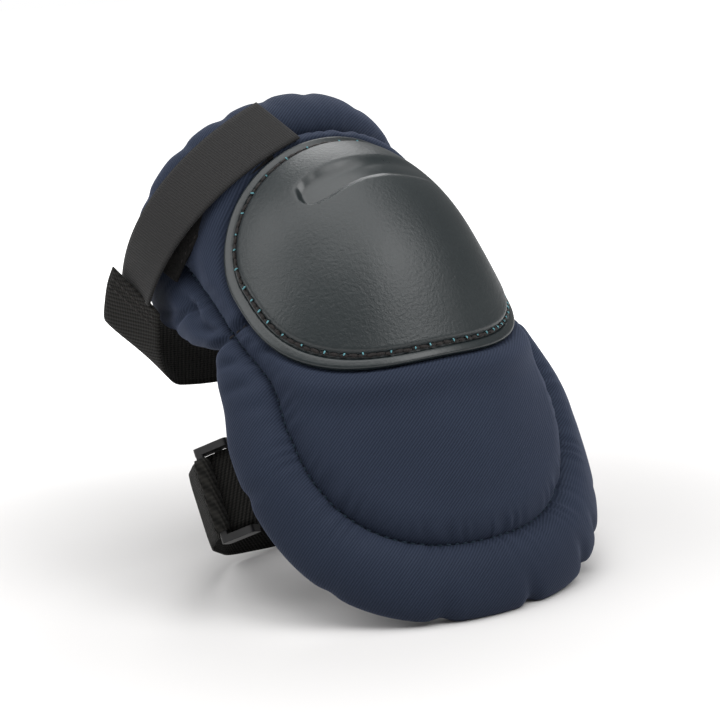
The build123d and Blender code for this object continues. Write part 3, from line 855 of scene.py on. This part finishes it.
def knee_cap():
    around = 288
    shares = 1 - cap_rings(110)
    s, t = cap_grid(shares, around)
    reach = np.repeat(shares[:, None], around, 1)
    outer = cap_level(s, t, reach)
    inner = np.maximum(outer - CAP_THICK, FLANGE_BASE)
    inner[0] = FLANGE_BASE
    rows = [on_pad(s[i], t[i], outer[i]) for i in range(len(shares))]
    centre_level = cap_level(np.array(0.0), np.array(CAP_CENTRE), np.array(0.0))
    under = [on_pad(s[i], t[i], inner[i]) for i in range(len(shares))]
    points = np.vstack(under[::-1] + rows)
    faces = grid_faces(2 * len(shares), around, close_columns=True)
    top = len(points)
    centre = [on_pad(0.0, CAP_CENTRE, centre_level - CAP_THICK), on_pad(0.0, CAP_CENTRE, centre_level)]
    points = np.vstack([points, centre])
    last = (2 * len(shares) - 1) * around
    for j in range(around):
        k = (j + 1) % around
        faces.append((k, j, top))
        faces.append((last + j, last + k, top + 1))
    obj = make_mesh("knee_cap", points, faces)
    polish = obj.data.attributes.new("polish", "FLOAT", "POINT")
    inside = smooth(recess_depth(s, t) / 0.3)
    edge = (1 - reach) * CAP_HALF < FLANGE_WIDTH + 0.5
    smoothness = np.maximum(inside, np.where(edge, 0.4, 0.0))
    values = np.concatenate([np.zeros(s.size), smoothness.ravel(), [0.0, 0.0]])
    polish.data.foreach_set("value", values.astype(np.float32))
    return paint(obj, CAP)


def knee_insert():
    """Foam inside the dome, just under the shell."""
    around = 96
    shares = np.linspace(1, 0.03, 40)
    s, t = cap_grid(shares, around, scale=0.8)
    reach = cap_reach(s, t)
    top = cap_level(s, t, reach) - 3.4
    bottom = np.full(top.shape, FLANGE_BASE)
    points = np.vstack([on_pad(s, t, bottom)[::-1].reshape(-1, 3), on_pad(s, t, top).reshape(-1, 3)])
    faces = grid_faces(2 * len(shares), around, close_columns=True)
    faces.append(tuple(range(around)))
    last = (2 * len(shares) - 1) * around
    faces.append(tuple(last + j for j in reversed(range(around))))
    obj = make_mesh("knee_insert", points, faces)
    return paint(obj, FOAM)


# ---------------- thread ----------------
def capsules(name, spans, width, material, sag=0.0):
    """Short rounded stitches, each given as start, end and outward direction, in metres."""
    around, rings = 8, 7
    points, faces = [], []
    for start, end, outward in spans:
        start, end, outward = (np.array(v, float) for v in (start, end, outward))
        along = end - start
        length = np.linalg.norm(along)
        along = along / length
        outward = outward - along * (outward @ along)
        outward = outward / np.linalg.norm(outward)
        side = np.cross(along, outward)
        base = len(points)
        for i in range(rings):
            share = i / (rings - 1)
            profile = math.sin(math.pi * min(max(share, 0.04), 0.96)) ** 0.45
            middle = start + along * length * share
            middle = middle - outward * sag * (abs(2 * share - 1) ** 2.5)
            for j in range(around):
                a = 2 * math.pi * j / around
                spoke = side * math.cos(a) + outward * math.sin(a) * 0.8
                points.append(middle + spoke * width / 2 * profile)
        faces += grid_faces(rings, around, close_columns=True, start=base)
        faces.append(tuple(base + j for j in range(around)))
        faces.append(tuple(base + (rings - 1) * around + j for j in reversed(range(around))))
    obj = make_mesh(name, np.array(points), faces)
    return paint(obj, material)


def thread_line(path, level, pitch, share, wobble=0.0):
    """Stitch spans along a polyline of (s, t), lying at a level above the surface."""
    path = np.array(path, float)
    lengths = run_along(path)
    spans = []
    for k in range(int(lengths[-1] / pitch)):
        ends = []
        for d in (k * pitch, k * pitch + pitch * share):
            s = np.interp(d, lengths, path[:, 0])
            t = np.interp(d, lengths, path[:, 1])
            ends.append((s + wobble * rng.uniform(-1, 1), t + wobble * rng.uniform(-1, 1)))
        rise = [level(s, t) if callable(level) else level for s, t in ends]
        a, b = (on_pad(p[0], p[1], r) for p, r in zip(ends, rise))
        up = on_pad(ends[0][0], ends[0][1], 10.0) - on_pad(ends[0][0], ends[0][1], 0.0)
        spans.append((a, b, up))
    return spans


def quilt_thread():
    """Stitches that lie in the bottom of the quilting channel, all round the inner panel."""
    loop = np.vstack([SEAM, SEAM[:1]])
    spans = thread_line(loop, SEAM_FRONT + 0.8, 4.2, 0.66, 0.15)
    return capsules("quilt_thread", spans, 1.15 * MM, NAVY_THREAD, sag=0.5 * MM)


def dart_thread():
    """Black stitches that close the dart on each side of the cap."""
    spans = []
    for side in (-1, 1):
        path = [(side * (74.0 + 0.5 * k), dart_middle(74.0 + 0.5 * k)) for k in range(31)]
        level = PANEL_CREST - DART_DEPTH + 1.0
        spans += thread_line(path, level, 4.0, 0.7, 0.1)
    return capsules("dart_thread", spans, 0.9 * MM, BLACK_THREAD, sag=0.4 * MM)


def cap_groove_path(inset, count=720):
    """Loop of (s, t) at a distance in from the cap's outline."""
    share = 1 - inset / (CAP_HALF * 0.93)
    rays = [cap_ray(2 * math.pi * i / count) for i in range(count + 1)]
    return [(share * x, CAP_CENTRE + share * y) for x, y in rays]


def cap_level_at(s, t):
    s, t = np.array(s), np.array(t)
    return float(cap_level(s, t, cap_reach(s, t)))


def cap_cord():
    """Dark twisted thread that lies in the groove inside the cap's bead."""
    spans = thread_line(
        cap_groove_path(FLANGE_WIDTH + 1.2), lambda s, t: cap_level_at(s, t) + 0.7, 4.0, 0.99, 0.35
    )
    return capsules("cap_cord", spans, 2.0 * MM, BLACK_THREAD)


def cap_thread():
    """Short teal stitches that cross the groove at intervals, closer at the lower right."""
    path = np.array(cap_groove_path(FLANGE_WIDTH + 1.3))
    lengths = run_along(path)
    spans = []
    at = 3.0
    while at < lengths[-1] - 4:
        s = np.interp(at, lengths, path[:, 0])
        t = np.interp(at, lengths, path[:, 1])
        inward = np.array([-s, CAP_CENTRE - t])
        inward = inward / np.hypot(*inward)
        slant = np.array([inward[1], -inward[0]]) * rng.uniform(-0.5, 0.5)
        reach = rng.uniform(0.5, 1.3)
        place = np.array([s, t])
        ends = [place - inward * rng.uniform(0.2, 0.9), place + (inward + slant) * reach]
        rise = [cap_level_at(s, t) + 1.7 for _ in ends]
        up = on_pad(s, t, 10.0) - on_pad(s, t, 0.0)
        spans.append((on_pad(*ends[0], rise[0]), on_pad(*ends[1], rise[1]), up))
        close = s > 20 and t < CAP_CENTRE
        if rng.random() < 0.5:
            knot = place + slant * 0.6
            spans.append((on_pad(*knot, rise[0] + 0.2), on_pad(*ends[1], rise[1] - 0.1), up))
        at += (5.2 if close else 9.6) * rng.uniform(0.7, 1.3)
    return capsules("cap_thread", spans, 0.85 * MM, TEAL_THREAD, sag=0.3 * MM)


# ---------------- webbing ----------------
def rounded_path(points, radius, step=1.5):
    """Polyline with rounded corners, resampled evenly."""
    points = [np.array(p, float) for p in points]
    out = [points[0]]
    for before, corner, after in zip(points[:-2], points[1:-1], points[2:]):
        one, two = before - corner, after - corner
        reach = min(radius, np.linalg.norm(one) * 0.45, np.linalg.norm(two) * 0.45)
        start = corner + one / np.linalg.norm(one) * reach
        end = corner + two / np.linalg.norm(two) * reach
        for k in range(7):
            u = k / 6
            out.append((1 - u) ** 2 * start + 2 * u * (1 - u) * corner + u * u * end)
    out.append(points[-1])
    out = np.array(out)
    length = run_along(out)[-1]
    return evenly(out, np.linspace(0, length, max(int(length / step), 2)))


def webbing(name, path, width, thick, centre_t, material):
    """Closed band that follows a path of (x, back) in the cross plane at centre_t."""
    columns = 13
    tangent = np.gradient(path, axis=0)
    tangent = tangent / np.linalg.norm(tangent, axis=1)[:, None]
    normal = np.stack([tangent[:, 1], -tangent[:, 0]], -1)
    along = run_along(path)
    front, back, flat = [], [], []
    up = up_at(centre_t)
    for q in np.linspace(-0.5, 0.5, columns):
        half = thick / 2 * (1 - 0.55 * abs(2 * q) ** 6)
        for sign, rows in ((1, front), (-1, back)):
            place = path + normal * sign * half
            base = back_point(place[:, 0], place[:, 1], centre_t)
            rows.append(base + up * (q * width))
        flat.append(np.stack([np.full(len(path), q * width), along], -1))
    obj = closed_grid(name, np.array(front), np.array(back), np.array(flat))
    return paint(obj, material)


def inside_points(sign, t, s_from, s_to, count):
    radius = float(wrap_radius(np.array(t)))
    height = SEWN_HEIGHT[0] if t < NOTCH_AT else SEWN_HEIGHT[1]
    turns = [sign * (s_from + (s_to - s_from) * i / (count - 1)) / radius for i in range(count)]
    return [((radius + height) * math.sin(a), radius - (radius + height) * math.cos(a)) for a in turns]


def lower_strap_depth():
    a = float(lean(np.array(LOWER_STRAP_AT)))
    height = float(np.interp(LOWER_STRAP_AT, PROFILE[0], PROFILE[2])) - WEB_WIDTH / 2 * math.cos(a) - 1.6
    return height / math.sin(a) - WEB_THICK / 2


def lower_strap():
    deep = lower_strap_depth()
    sewn = inside_points(-1, LOWER_STRAP_AT, 60, LOWER_STRAP_EXIT, 5)
    left = sewn + [SLIDER_TURN, (-87, 104), (-62, deep - 8), (-30, deep)]
    path = rounded_path(left + [(-x, back) for x, back in left[::-1]], 9.0)
    return webbing("lower_strap", path, WEB_WIDTH, WEB_THICK, LOWER_STRAP_AT, ELASTIC)


# the elastic's upper and lower long edges: sideways, back and shift along the pad, from hem to anchor
ELASTIC_EDGES = [
    ((-92.3, 70.8, 0.0), (-85.3, 66.0, 0.0)),
    ((-93.0, 80.0, -1.0), (-83.5, 76.0, -2.0)),
    ((-92.8, 90.0, -3.0), (-80.0, 91.0, -5.0)),
    ((-91.5, 102.5, -6.0), (-73.5, 105.5, -7.0)),
    ((-87.0, 107.0, -6.5), (-65.5, 115.5, -7.0)),
    ((-76.0, 108.5, -6.5), (-57.0, 119.0, -7.0)),
    ((-45.0, 111.0, -6.5), (-37.5, 121.5, -7.0)),
    ((-15.0, 113.5, -6.5), (-10.0, 120.0, -7.0)),
    ((20.0, 113.5, -5.0), (22.0, 117.0, -5.0)),
    ((46.0, 112.0, -2.0), (47.0, 113.5, -2.0)),
    ((55.5, 106.0, -0.5), (55.5, 106.5, -0.5)),
    ((57.0, 96.0, 0.0), (57.0, 96.0, 0.0)),
    ((57.0, 86.8, 0.0), (57.0, 86.8, 0.0)),
]


def smooth_line(points, count):
    """Even points on a smooth curve through the given ones."""
    points = np.array(points, float)
    padded = np.vstack([2 * points[0] - points[1], points, 2 * points[-1] - points[-2]])
    out = []
    for i in range(1, len(padded) - 2):
        a, b, c, d = padded[i - 1 : i + 3]
        for k in range(16):
            u = k / 16
            square = (2 * a - 5 * b + 4 * c - d) * u * u
            cube = (3 * b - a - 3 * c + d) * u**3
            out.append(0.5 * (2 * b + (c - a) * u + square + cube))
    out.append(points[-1])
    out = np.array(out)
    return evenly(out, np.linspace(0, run_along(out)[-1], count))


def upper_strap():
    """Limp elastic: it slants down from the hem, folds round, and runs behind the pad to its anchor."""
    count, columns = 170, 15
    edges = [smooth_line([pair[k] for pair in ELASTIC_EDGES], count) for k in (0, 1)]
    up = up_at(UPPER_STRAP_AT)
    rows = []
    for q in np.linspace(0.5, -0.5, columns):
        share = 0.5 - q
        mid = edges[0] * (1 - share) + edges[1] * share
        bow = 0.7 * np.sin(np.linspace(0, 9.0, count) + 2 * q)
        base = back_point(mid[:, 0], mid[:, 1] + bow * (1 - abs(2 * q) ** 3), UPPER_STRAP_AT)
        rows.append(base + np.outer(q * WEB_WIDTH + mid[:, 2], up))
    middle = np.array(rows)
    across = np.gradient(middle, axis=0)
    along = np.gradient(middle, axis=1)
    normal = np.cross(across, along)
    normal /= np.linalg.norm(normal, axis=2)[:, :, None]
    edge = np.abs(np.linspace(-1, 1, columns))[:, None, None] ** 8
    half = WEB_THICK / 2 * (1 - 0.5 * edge) * MM
    travelled = np.cumsum(np.linalg.norm(along[columns // 2], axis=1)) / MM
    flat = np.stack(np.broadcast_arrays(np.linspace(-19, 19, columns)[:, None], travelled[None, :]), -1)
    obj = closed_grid("upper_elastic", middle + normal * half, middle - normal * half, flat)
    return paint(obj, ELASTIC)


def hem_thread():
    """Two rows of stitches across the elastic, just below its hem."""
    spans = []
    up = up_at(UPPER_STRAP_AT)
    edges = [smooth_line([pair[k] for pair in ELASTIC_EDGES], 400) for k in (0, 1)]
    for row in (10, 20):
        ends = [back_point(e[row, 0], e[row, 1], UPPER_STRAP_AT) + up * (q * WEB_WIDTH + e[row, 2])
                for e, q in zip(edges, (0.5, -0.5))]
        outward = np.array([-1.0, -0.25, 0.1])
        for k in range(9):
            share = 0.06 + 0.1 * k
            a = ends[0] * (1 - share) + ends[1] * share + outward * 1.0 * MM
            b = ends[0] * (0.93 - share) + ends[1] * (share + 0.07) + outward * 1.0 * MM
            spans.append((a, b, outward))
    return capsules("hem_thread", spans, 0.9 * MM, BLACK_THREAD)


def sewn_end():
    points = inside_points(1, UPPER_STRAP_AT, 72, 112, 5) + [(SWING_AT[0], SWING_AT[1] - 0.6)]
    path = rounded_path(points, 5.0)
    return webbing("strap_sewn_end", path, WEB_WIDTH, WEB_THICK, UPPER_STRAP_AT, ELASTIC)


def strip(name, start, end, width, level, thick, material, rows=13, columns=90):
    """Flat strip laid over the surface from start to end, at a level given by a function."""
    start, end = np.array(start), np.array(end)
    length = np.hypot(*(end - start))
    along = (end - start) / length
    across = np.array([-along[1], along[0]])
    q = np.linspace(-0.5, 0.5, rows)[:, None] * width
    d = np.linspace(0, length, columns)[None, :]
    s = start[0] + along[0] * d + across[0] * q
    t = start[1] + along[1] * d + across[1] * q
    low = level(s, t)
    flat = np.stack(np.broadcast_arrays(q, d), -1)
    obj = closed_grid(name, on_pad(s, t, low + thick), on_pad(s, t, low), flat)
    return paint(obj, material)


def tab_level(s, t):
    share = smooth((TAB_TOP[0] - s) / (TAB_TOP[0] - TAB_LOW[0]))
    return TAB_HEIGHT[0] + (TAB_HEIGHT[1] - TAB_HEIGHT[0]) * share


def patch_level(s, t):
    return np.full(s.shape, PILE_BASE)


def patch_thread():
    """Stitches along both long edges of the loop patch."""
    spans = []
    start, end = np.array(PATCH_TOP), np.array(PATCH_LOW)
    along = (end - start) / np.hypot(*(end - start))
    across = np.array([-along[1], along[0]]) * (PATCH_WIDTH / 2 - 3.5)
    for side in (-1, 1):
        path = [start + across * side + along * 3, end + across * side - along * 4]
        spans += thread_line(path, 11.0, 4.0, 0.6)
    return capsules("patch_thread", spans, 0.8 * MM, BLACK_THREAD, sag=0.4 * MM)


def tack_thread(name, sign, t, s_at):
    """Zigzag tacks across a sewn strap end, on its leg side."""
    spans = []
    level = (SEWN_HEIGHT[0] if t < NOTCH_AT else SEWN_HEIGHT[1]) - WEB_THICK / 2 - 0.3
    for side in sign:
        for shift in (0.0, 7.0):
            s = side * (s_at + shift)
            path = [(s + 0.8 * (-1) ** k, t - WEB_WIDTH / 2 + 3 + 2.0 * k) for k in range(17)]
            spans += thread_line(path, level, 2.15, 0.95)
    return capsules(name, spans, 0.8 * MM, BLACK_THREAD)


def slider_loop():
    """End of the elastic, folded round the slider's outer bar."""
    start = np.array(inside_points(-1, LOWER_STRAP_AT, 60, LOWER_STRAP_EXIT, 2)[-1])
    along = np.array(SLIDER_TURN) - start
    along = along / np.hypot(*along)
    through = np.array([along[1], -along[0]])
    middle = start + through * SLIDER_BAR_AT[0] + along * SLIDER_BAR_AT[1]
    rings = []
    for half_thick, half_long in (SLIDER_BAR_HOLE, [v + WRAP_THICK for v in SLIDER_BAR_HOLE]):
        turns = [2 * math.pi * k / 48 for k in range(48)]
        rings.append([
            middle
            + through * half_thick * math.copysign(abs(math.cos(a)) ** 0.45, math.cos(a))
            + along * half_long * math.copysign(abs(math.sin(a)) ** 0.45, math.sin(a))
            for a in turns
        ])
    inner, outer = (np.array(ring) for ring in rings)
    up = up_at(LOWER_STRAP_AT)
    half = WEB_WIDTH / 2 - 1
    rows = []
    for ring, levels in ((outer, np.linspace(-half, half, 15)), (inner, np.linspace(half, -half, 15))):
        for level in levels:
            hem = 0.25 * max(abs(level) - half + 2.5, 0) if ring is outer else 0.0
            place = ring + (ring - middle) / np.hypot(*(ring - middle).T)[:, None] * (0.2 - hem)
            rows.append(back_point(place[:, 0], place[:, 1], LOWER_STRAP_AT) + up * level)
    run = np.arange(48) * 0.4
    flat = [np.stack([np.full(48, 1.3 * i), run], -1) for i in range(30)]
    faces = grid_faces(30, 48, close_rows=True, close_columns=True)
    obj = make_mesh("slider_loop", np.array(rows).reshape(-1, 3), faces, np.array(flat).reshape(-1, 2))
    return paint(obj, ELASTIC)


# ---------------- build the object ----------------
def ride(piece, body, *nodes):
    """Fix a piece to a body, in place of its CAD nodes."""
    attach(piece, body)
    if nodes:
        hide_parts(*nodes)
    return piece


def bend_between(piece, bodies, ends, *nodes):
    """Bake a piece's placement into its mesh, in place of its CAD nodes."""
    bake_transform(piece)
    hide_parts(*nodes)
    return piece


KNEE = (("lower_pad", "upper_pad"), [on_pad(0.0, t, 0.0) for t in FLEX_BAND])

rim = bend_between(
    pad_rim(), *KNEE, "lower_rim_roll", "waist_rim_left", "waist_rim_right", "upper_rim_roll"
)
panel = bend_between(
    inner_panel(), *KNEE, "lower_front_cover", "waist_front_cover", "upper_front_cover"
)
bend_between(back_lining(), *KNEE, "lower_back_lining", "waist_back_lining", "upper_back_lining")
shin_foam = foam_core("shin_foam", 0.0, CORE_GAP[0])
bend_between(shin_foam, *KNEE, "lower_foam_core", "waist_foam_core")
thigh_foam = ride(foam_core("thigh_foam", CORE_GAP[1], 400.0), "upper_pad", "upper_foam_core")
ride(knee_cap(), "upper_pad", "knee_cap_shell")
insert = ride(knee_insert(), "upper_pad", "knee_foam_insert")
ride(lower_strap(), "lower_pad", "lower_strap")

anchor = back_point(SWING_AT[0] + 1.0, SWING_AT[1], UPPER_STRAP_AT)
past = anchor - np.array([STRAP_BLEND, 0.0, 0.0])
bend_between(upper_strap(), ("upper_pad", "upper_strap"), (anchor, past), "upper_strap")
ride(sewn_end(), "upper_pad", "upper_strap_sewn_end")

fold = Vector(back_point(*HEM_AT, UPPER_STRAP_AT))
tab_run = on_pad(*TAB_TOP, TAB_HEIGHT[0]) - on_pad(*TAB_LOW, TAB_HEIGHT[1])
tab_run = Vector(tab_run).normalized()
tab = strip("hook_tab_tape", TAB_TOP, TAB_TAIL, TAB_WIDTH, tab_level, TAB_THICK, TAPE)
tab_ends = [fold + tab_run * reach for reach in TAB_FOLD]
bend_between(tab, ("upper_strap", "hook_tab"), tab_ends, "hook_tab")
patch = strip(
    "loop_pile_patch", PILE_TOP, PILE_LOW, PATCH_WIDTH, patch_level, PILE_THICK, PILE
)
ride(patch, "upper_pad", "loop_patch")

ride(hem_thread(), "upper_strap", "hem_stitches")
bend_between(quilt_thread(), *KNEE, "lower_quilt_stitches", "upper_quilt_stitches")
ride(dart_thread(), "upper_pad", "waist_seam_stitches")
ride(cap_cord(), "upper_pad")
ride(cap_thread(), "upper_pad", "cap_stitches")
ride(patch_thread(), "upper_pad", "loop_patch_stitches")
lower_tacks = tack_thread("lower_tacks", (-1, 1), LOWER_STRAP_AT, LOWER_TACK_AT)
ride(lower_tacks, "lower_pad", "lower_strap_tacks")
upper_tacks = tack_thread("upper_tacks", (1,), UPPER_STRAP_AT, UPPER_TACK_AT)
ride(upper_tacks, "upper_pad", "upper_strap_tacks")
ride(slider_loop(), "strap_slider", "slider_wrap")

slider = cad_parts["slider_frame"]
slider.data.materials.clear()
slider.data.materials.append(SLIDER)


# ---------------- stage, light and camera ----------------
VIEW_AZIMUTH = -34.7
VIEW_ELEVATION = 13.1
VIEW_ROLL = 2.9
VIEW_DISTANCE = 1.0
VIEW_FOCAL = 105.0
VIEW_TARGET = Vector((0.00173, -0.04975, 0.0984))
VIEW_SHIFT = (-0.092, 0.032)
AMBIENT = 0.27
# name, azimuth and elevation in degrees, distance and size in metres, power in watts
LIGHTS = [
    ("left_box", -112.0, 40.0, 1.5, 1.2, 10.0),
    ("right_box", 30.0, 40.0, 1.6, 0.9, 11.0),
    ("top_box", -20.0, 80.0, 1.5, 1.7, 20.0),
    ("back_box", 150.0, 45.0, 1.7, 1.0, 9.0),
]


def floor_material():
    nodes = Nodes("floor")
    nodes.set(Base_Color=(0.66, 0.652, 0.648, 1.0), Roughness=0.9, Specular_IOR_Level=0.1)
    # Painted light: the floor glows, more strongly with distance from its middle under the pad, so it
    # reads white far off and stays darker round the pad.
    away = nodes.new("ShaderNodeVectorMath", operation="LENGTH")
    nodes.link(nodes.object_space(), away.inputs[0])
    painted_floor_glow = nodes.new("ShaderNodeMapRange", interpolation_type="SMOOTHSTEP")
    nodes.link(away.outputs["Value"], painted_floor_glow.inputs["Value"])
    for key, value in (("From Min", 0.14), ("From Max", 0.62), ("To Min", 0.0), ("To Max", 0.9)):
        painted_floor_glow.inputs[key].default_value = value
    nodes.set(Emission_Color=(1.0, 1.0, 1.0, 1.0), Emission_Strength=painted_floor_glow.outputs[0])
    return nodes.material


def add_floor():
    bpy.ops.mesh.primitive_plane_add(size=12.0, location=(0, 0, 0))
    floor = bpy.context.object
    floor.name = "floor"
    floor.data.materials.append(floor_material())


def add_light(name, azimuth, elevation, distance, size, power):
    """Round soft light, aimed at the middle of the pad."""
    turn, rise = math.radians(azimuth), math.radians(elevation)
    away = Vector((math.sin(turn) * math.cos(rise), -math.cos(turn) * math.cos(rise), math.sin(rise)))
    light = bpy.data.lights.new(name, "AREA")
    light.shape = "DISK"
    light.size = size
    light.energy = power
    obj = bpy.data.objects.new(name, light)
    obj.location = VIEW_TARGET + away * distance
    obj.rotation_euler = (-away).to_track_quat("-Z", "Y").to_euler()
    bpy.context.scene.collection.objects.link(obj)


def add_camera():
    azimuth = math.radians(VIEW_AZIMUTH)
    elevation = math.radians(VIEW_ELEVATION)
    back = Vector((
        math.sin(azimuth) * math.cos(elevation),
        -math.cos(azimuth) * math.cos(elevation),
        math.sin(elevation),
    ))
    camera = bpy.data.cameras.new("camera")
    camera.lens = VIEW_FOCAL
    camera.sensor_width = 36.0
    camera.shift_x, camera.shift_y = VIEW_SHIFT
    obj = bpy.data.objects.new("camera", camera)
    turn = (-back).to_track_quat("-Z", "Y").to_matrix().to_4x4()
    obj.matrix_world = Matrix.Translation(VIEW_TARGET + back * VIEW_DISTANCE) @ turn
    obj.matrix_world = obj.matrix_world @ Matrix.Rotation(math.radians(-VIEW_ROLL), 4, "Z")
    bpy.context.scene.collection.objects.link(obj)
    bpy.context.scene.camera = obj


def add_world():
    """Dim grey studio that shows as white behind the floor's far edge."""
    world = bpy.data.worlds.new("studio")
    world.use_nodes = True
    tree = world.node_tree
    background = tree.nodes["Background"]
    path = tree.nodes.new("ShaderNodeLightPath")
    strength = tree.nodes.new("ShaderNodeMapRange")
    strength.inputs["To Min"].default_value = AMBIENT
    strength.inputs["To Max"].default_value = 1.0
    tree.links.new(path.outputs["Is Camera Ray"], strength.inputs["Value"])
    tree.links.new(strength.outputs[0], background.inputs["Strength"])
    background.inputs["Color"].default_value = (1.0, 1.0, 1.0, 1.0)
    bpy.context.scene.world = world


add_floor()
add_camera()
for light in LIGHTS:
    add_light(*light)
add_world()
bpy.context.scene.view_settings.view_transform = "Standard"
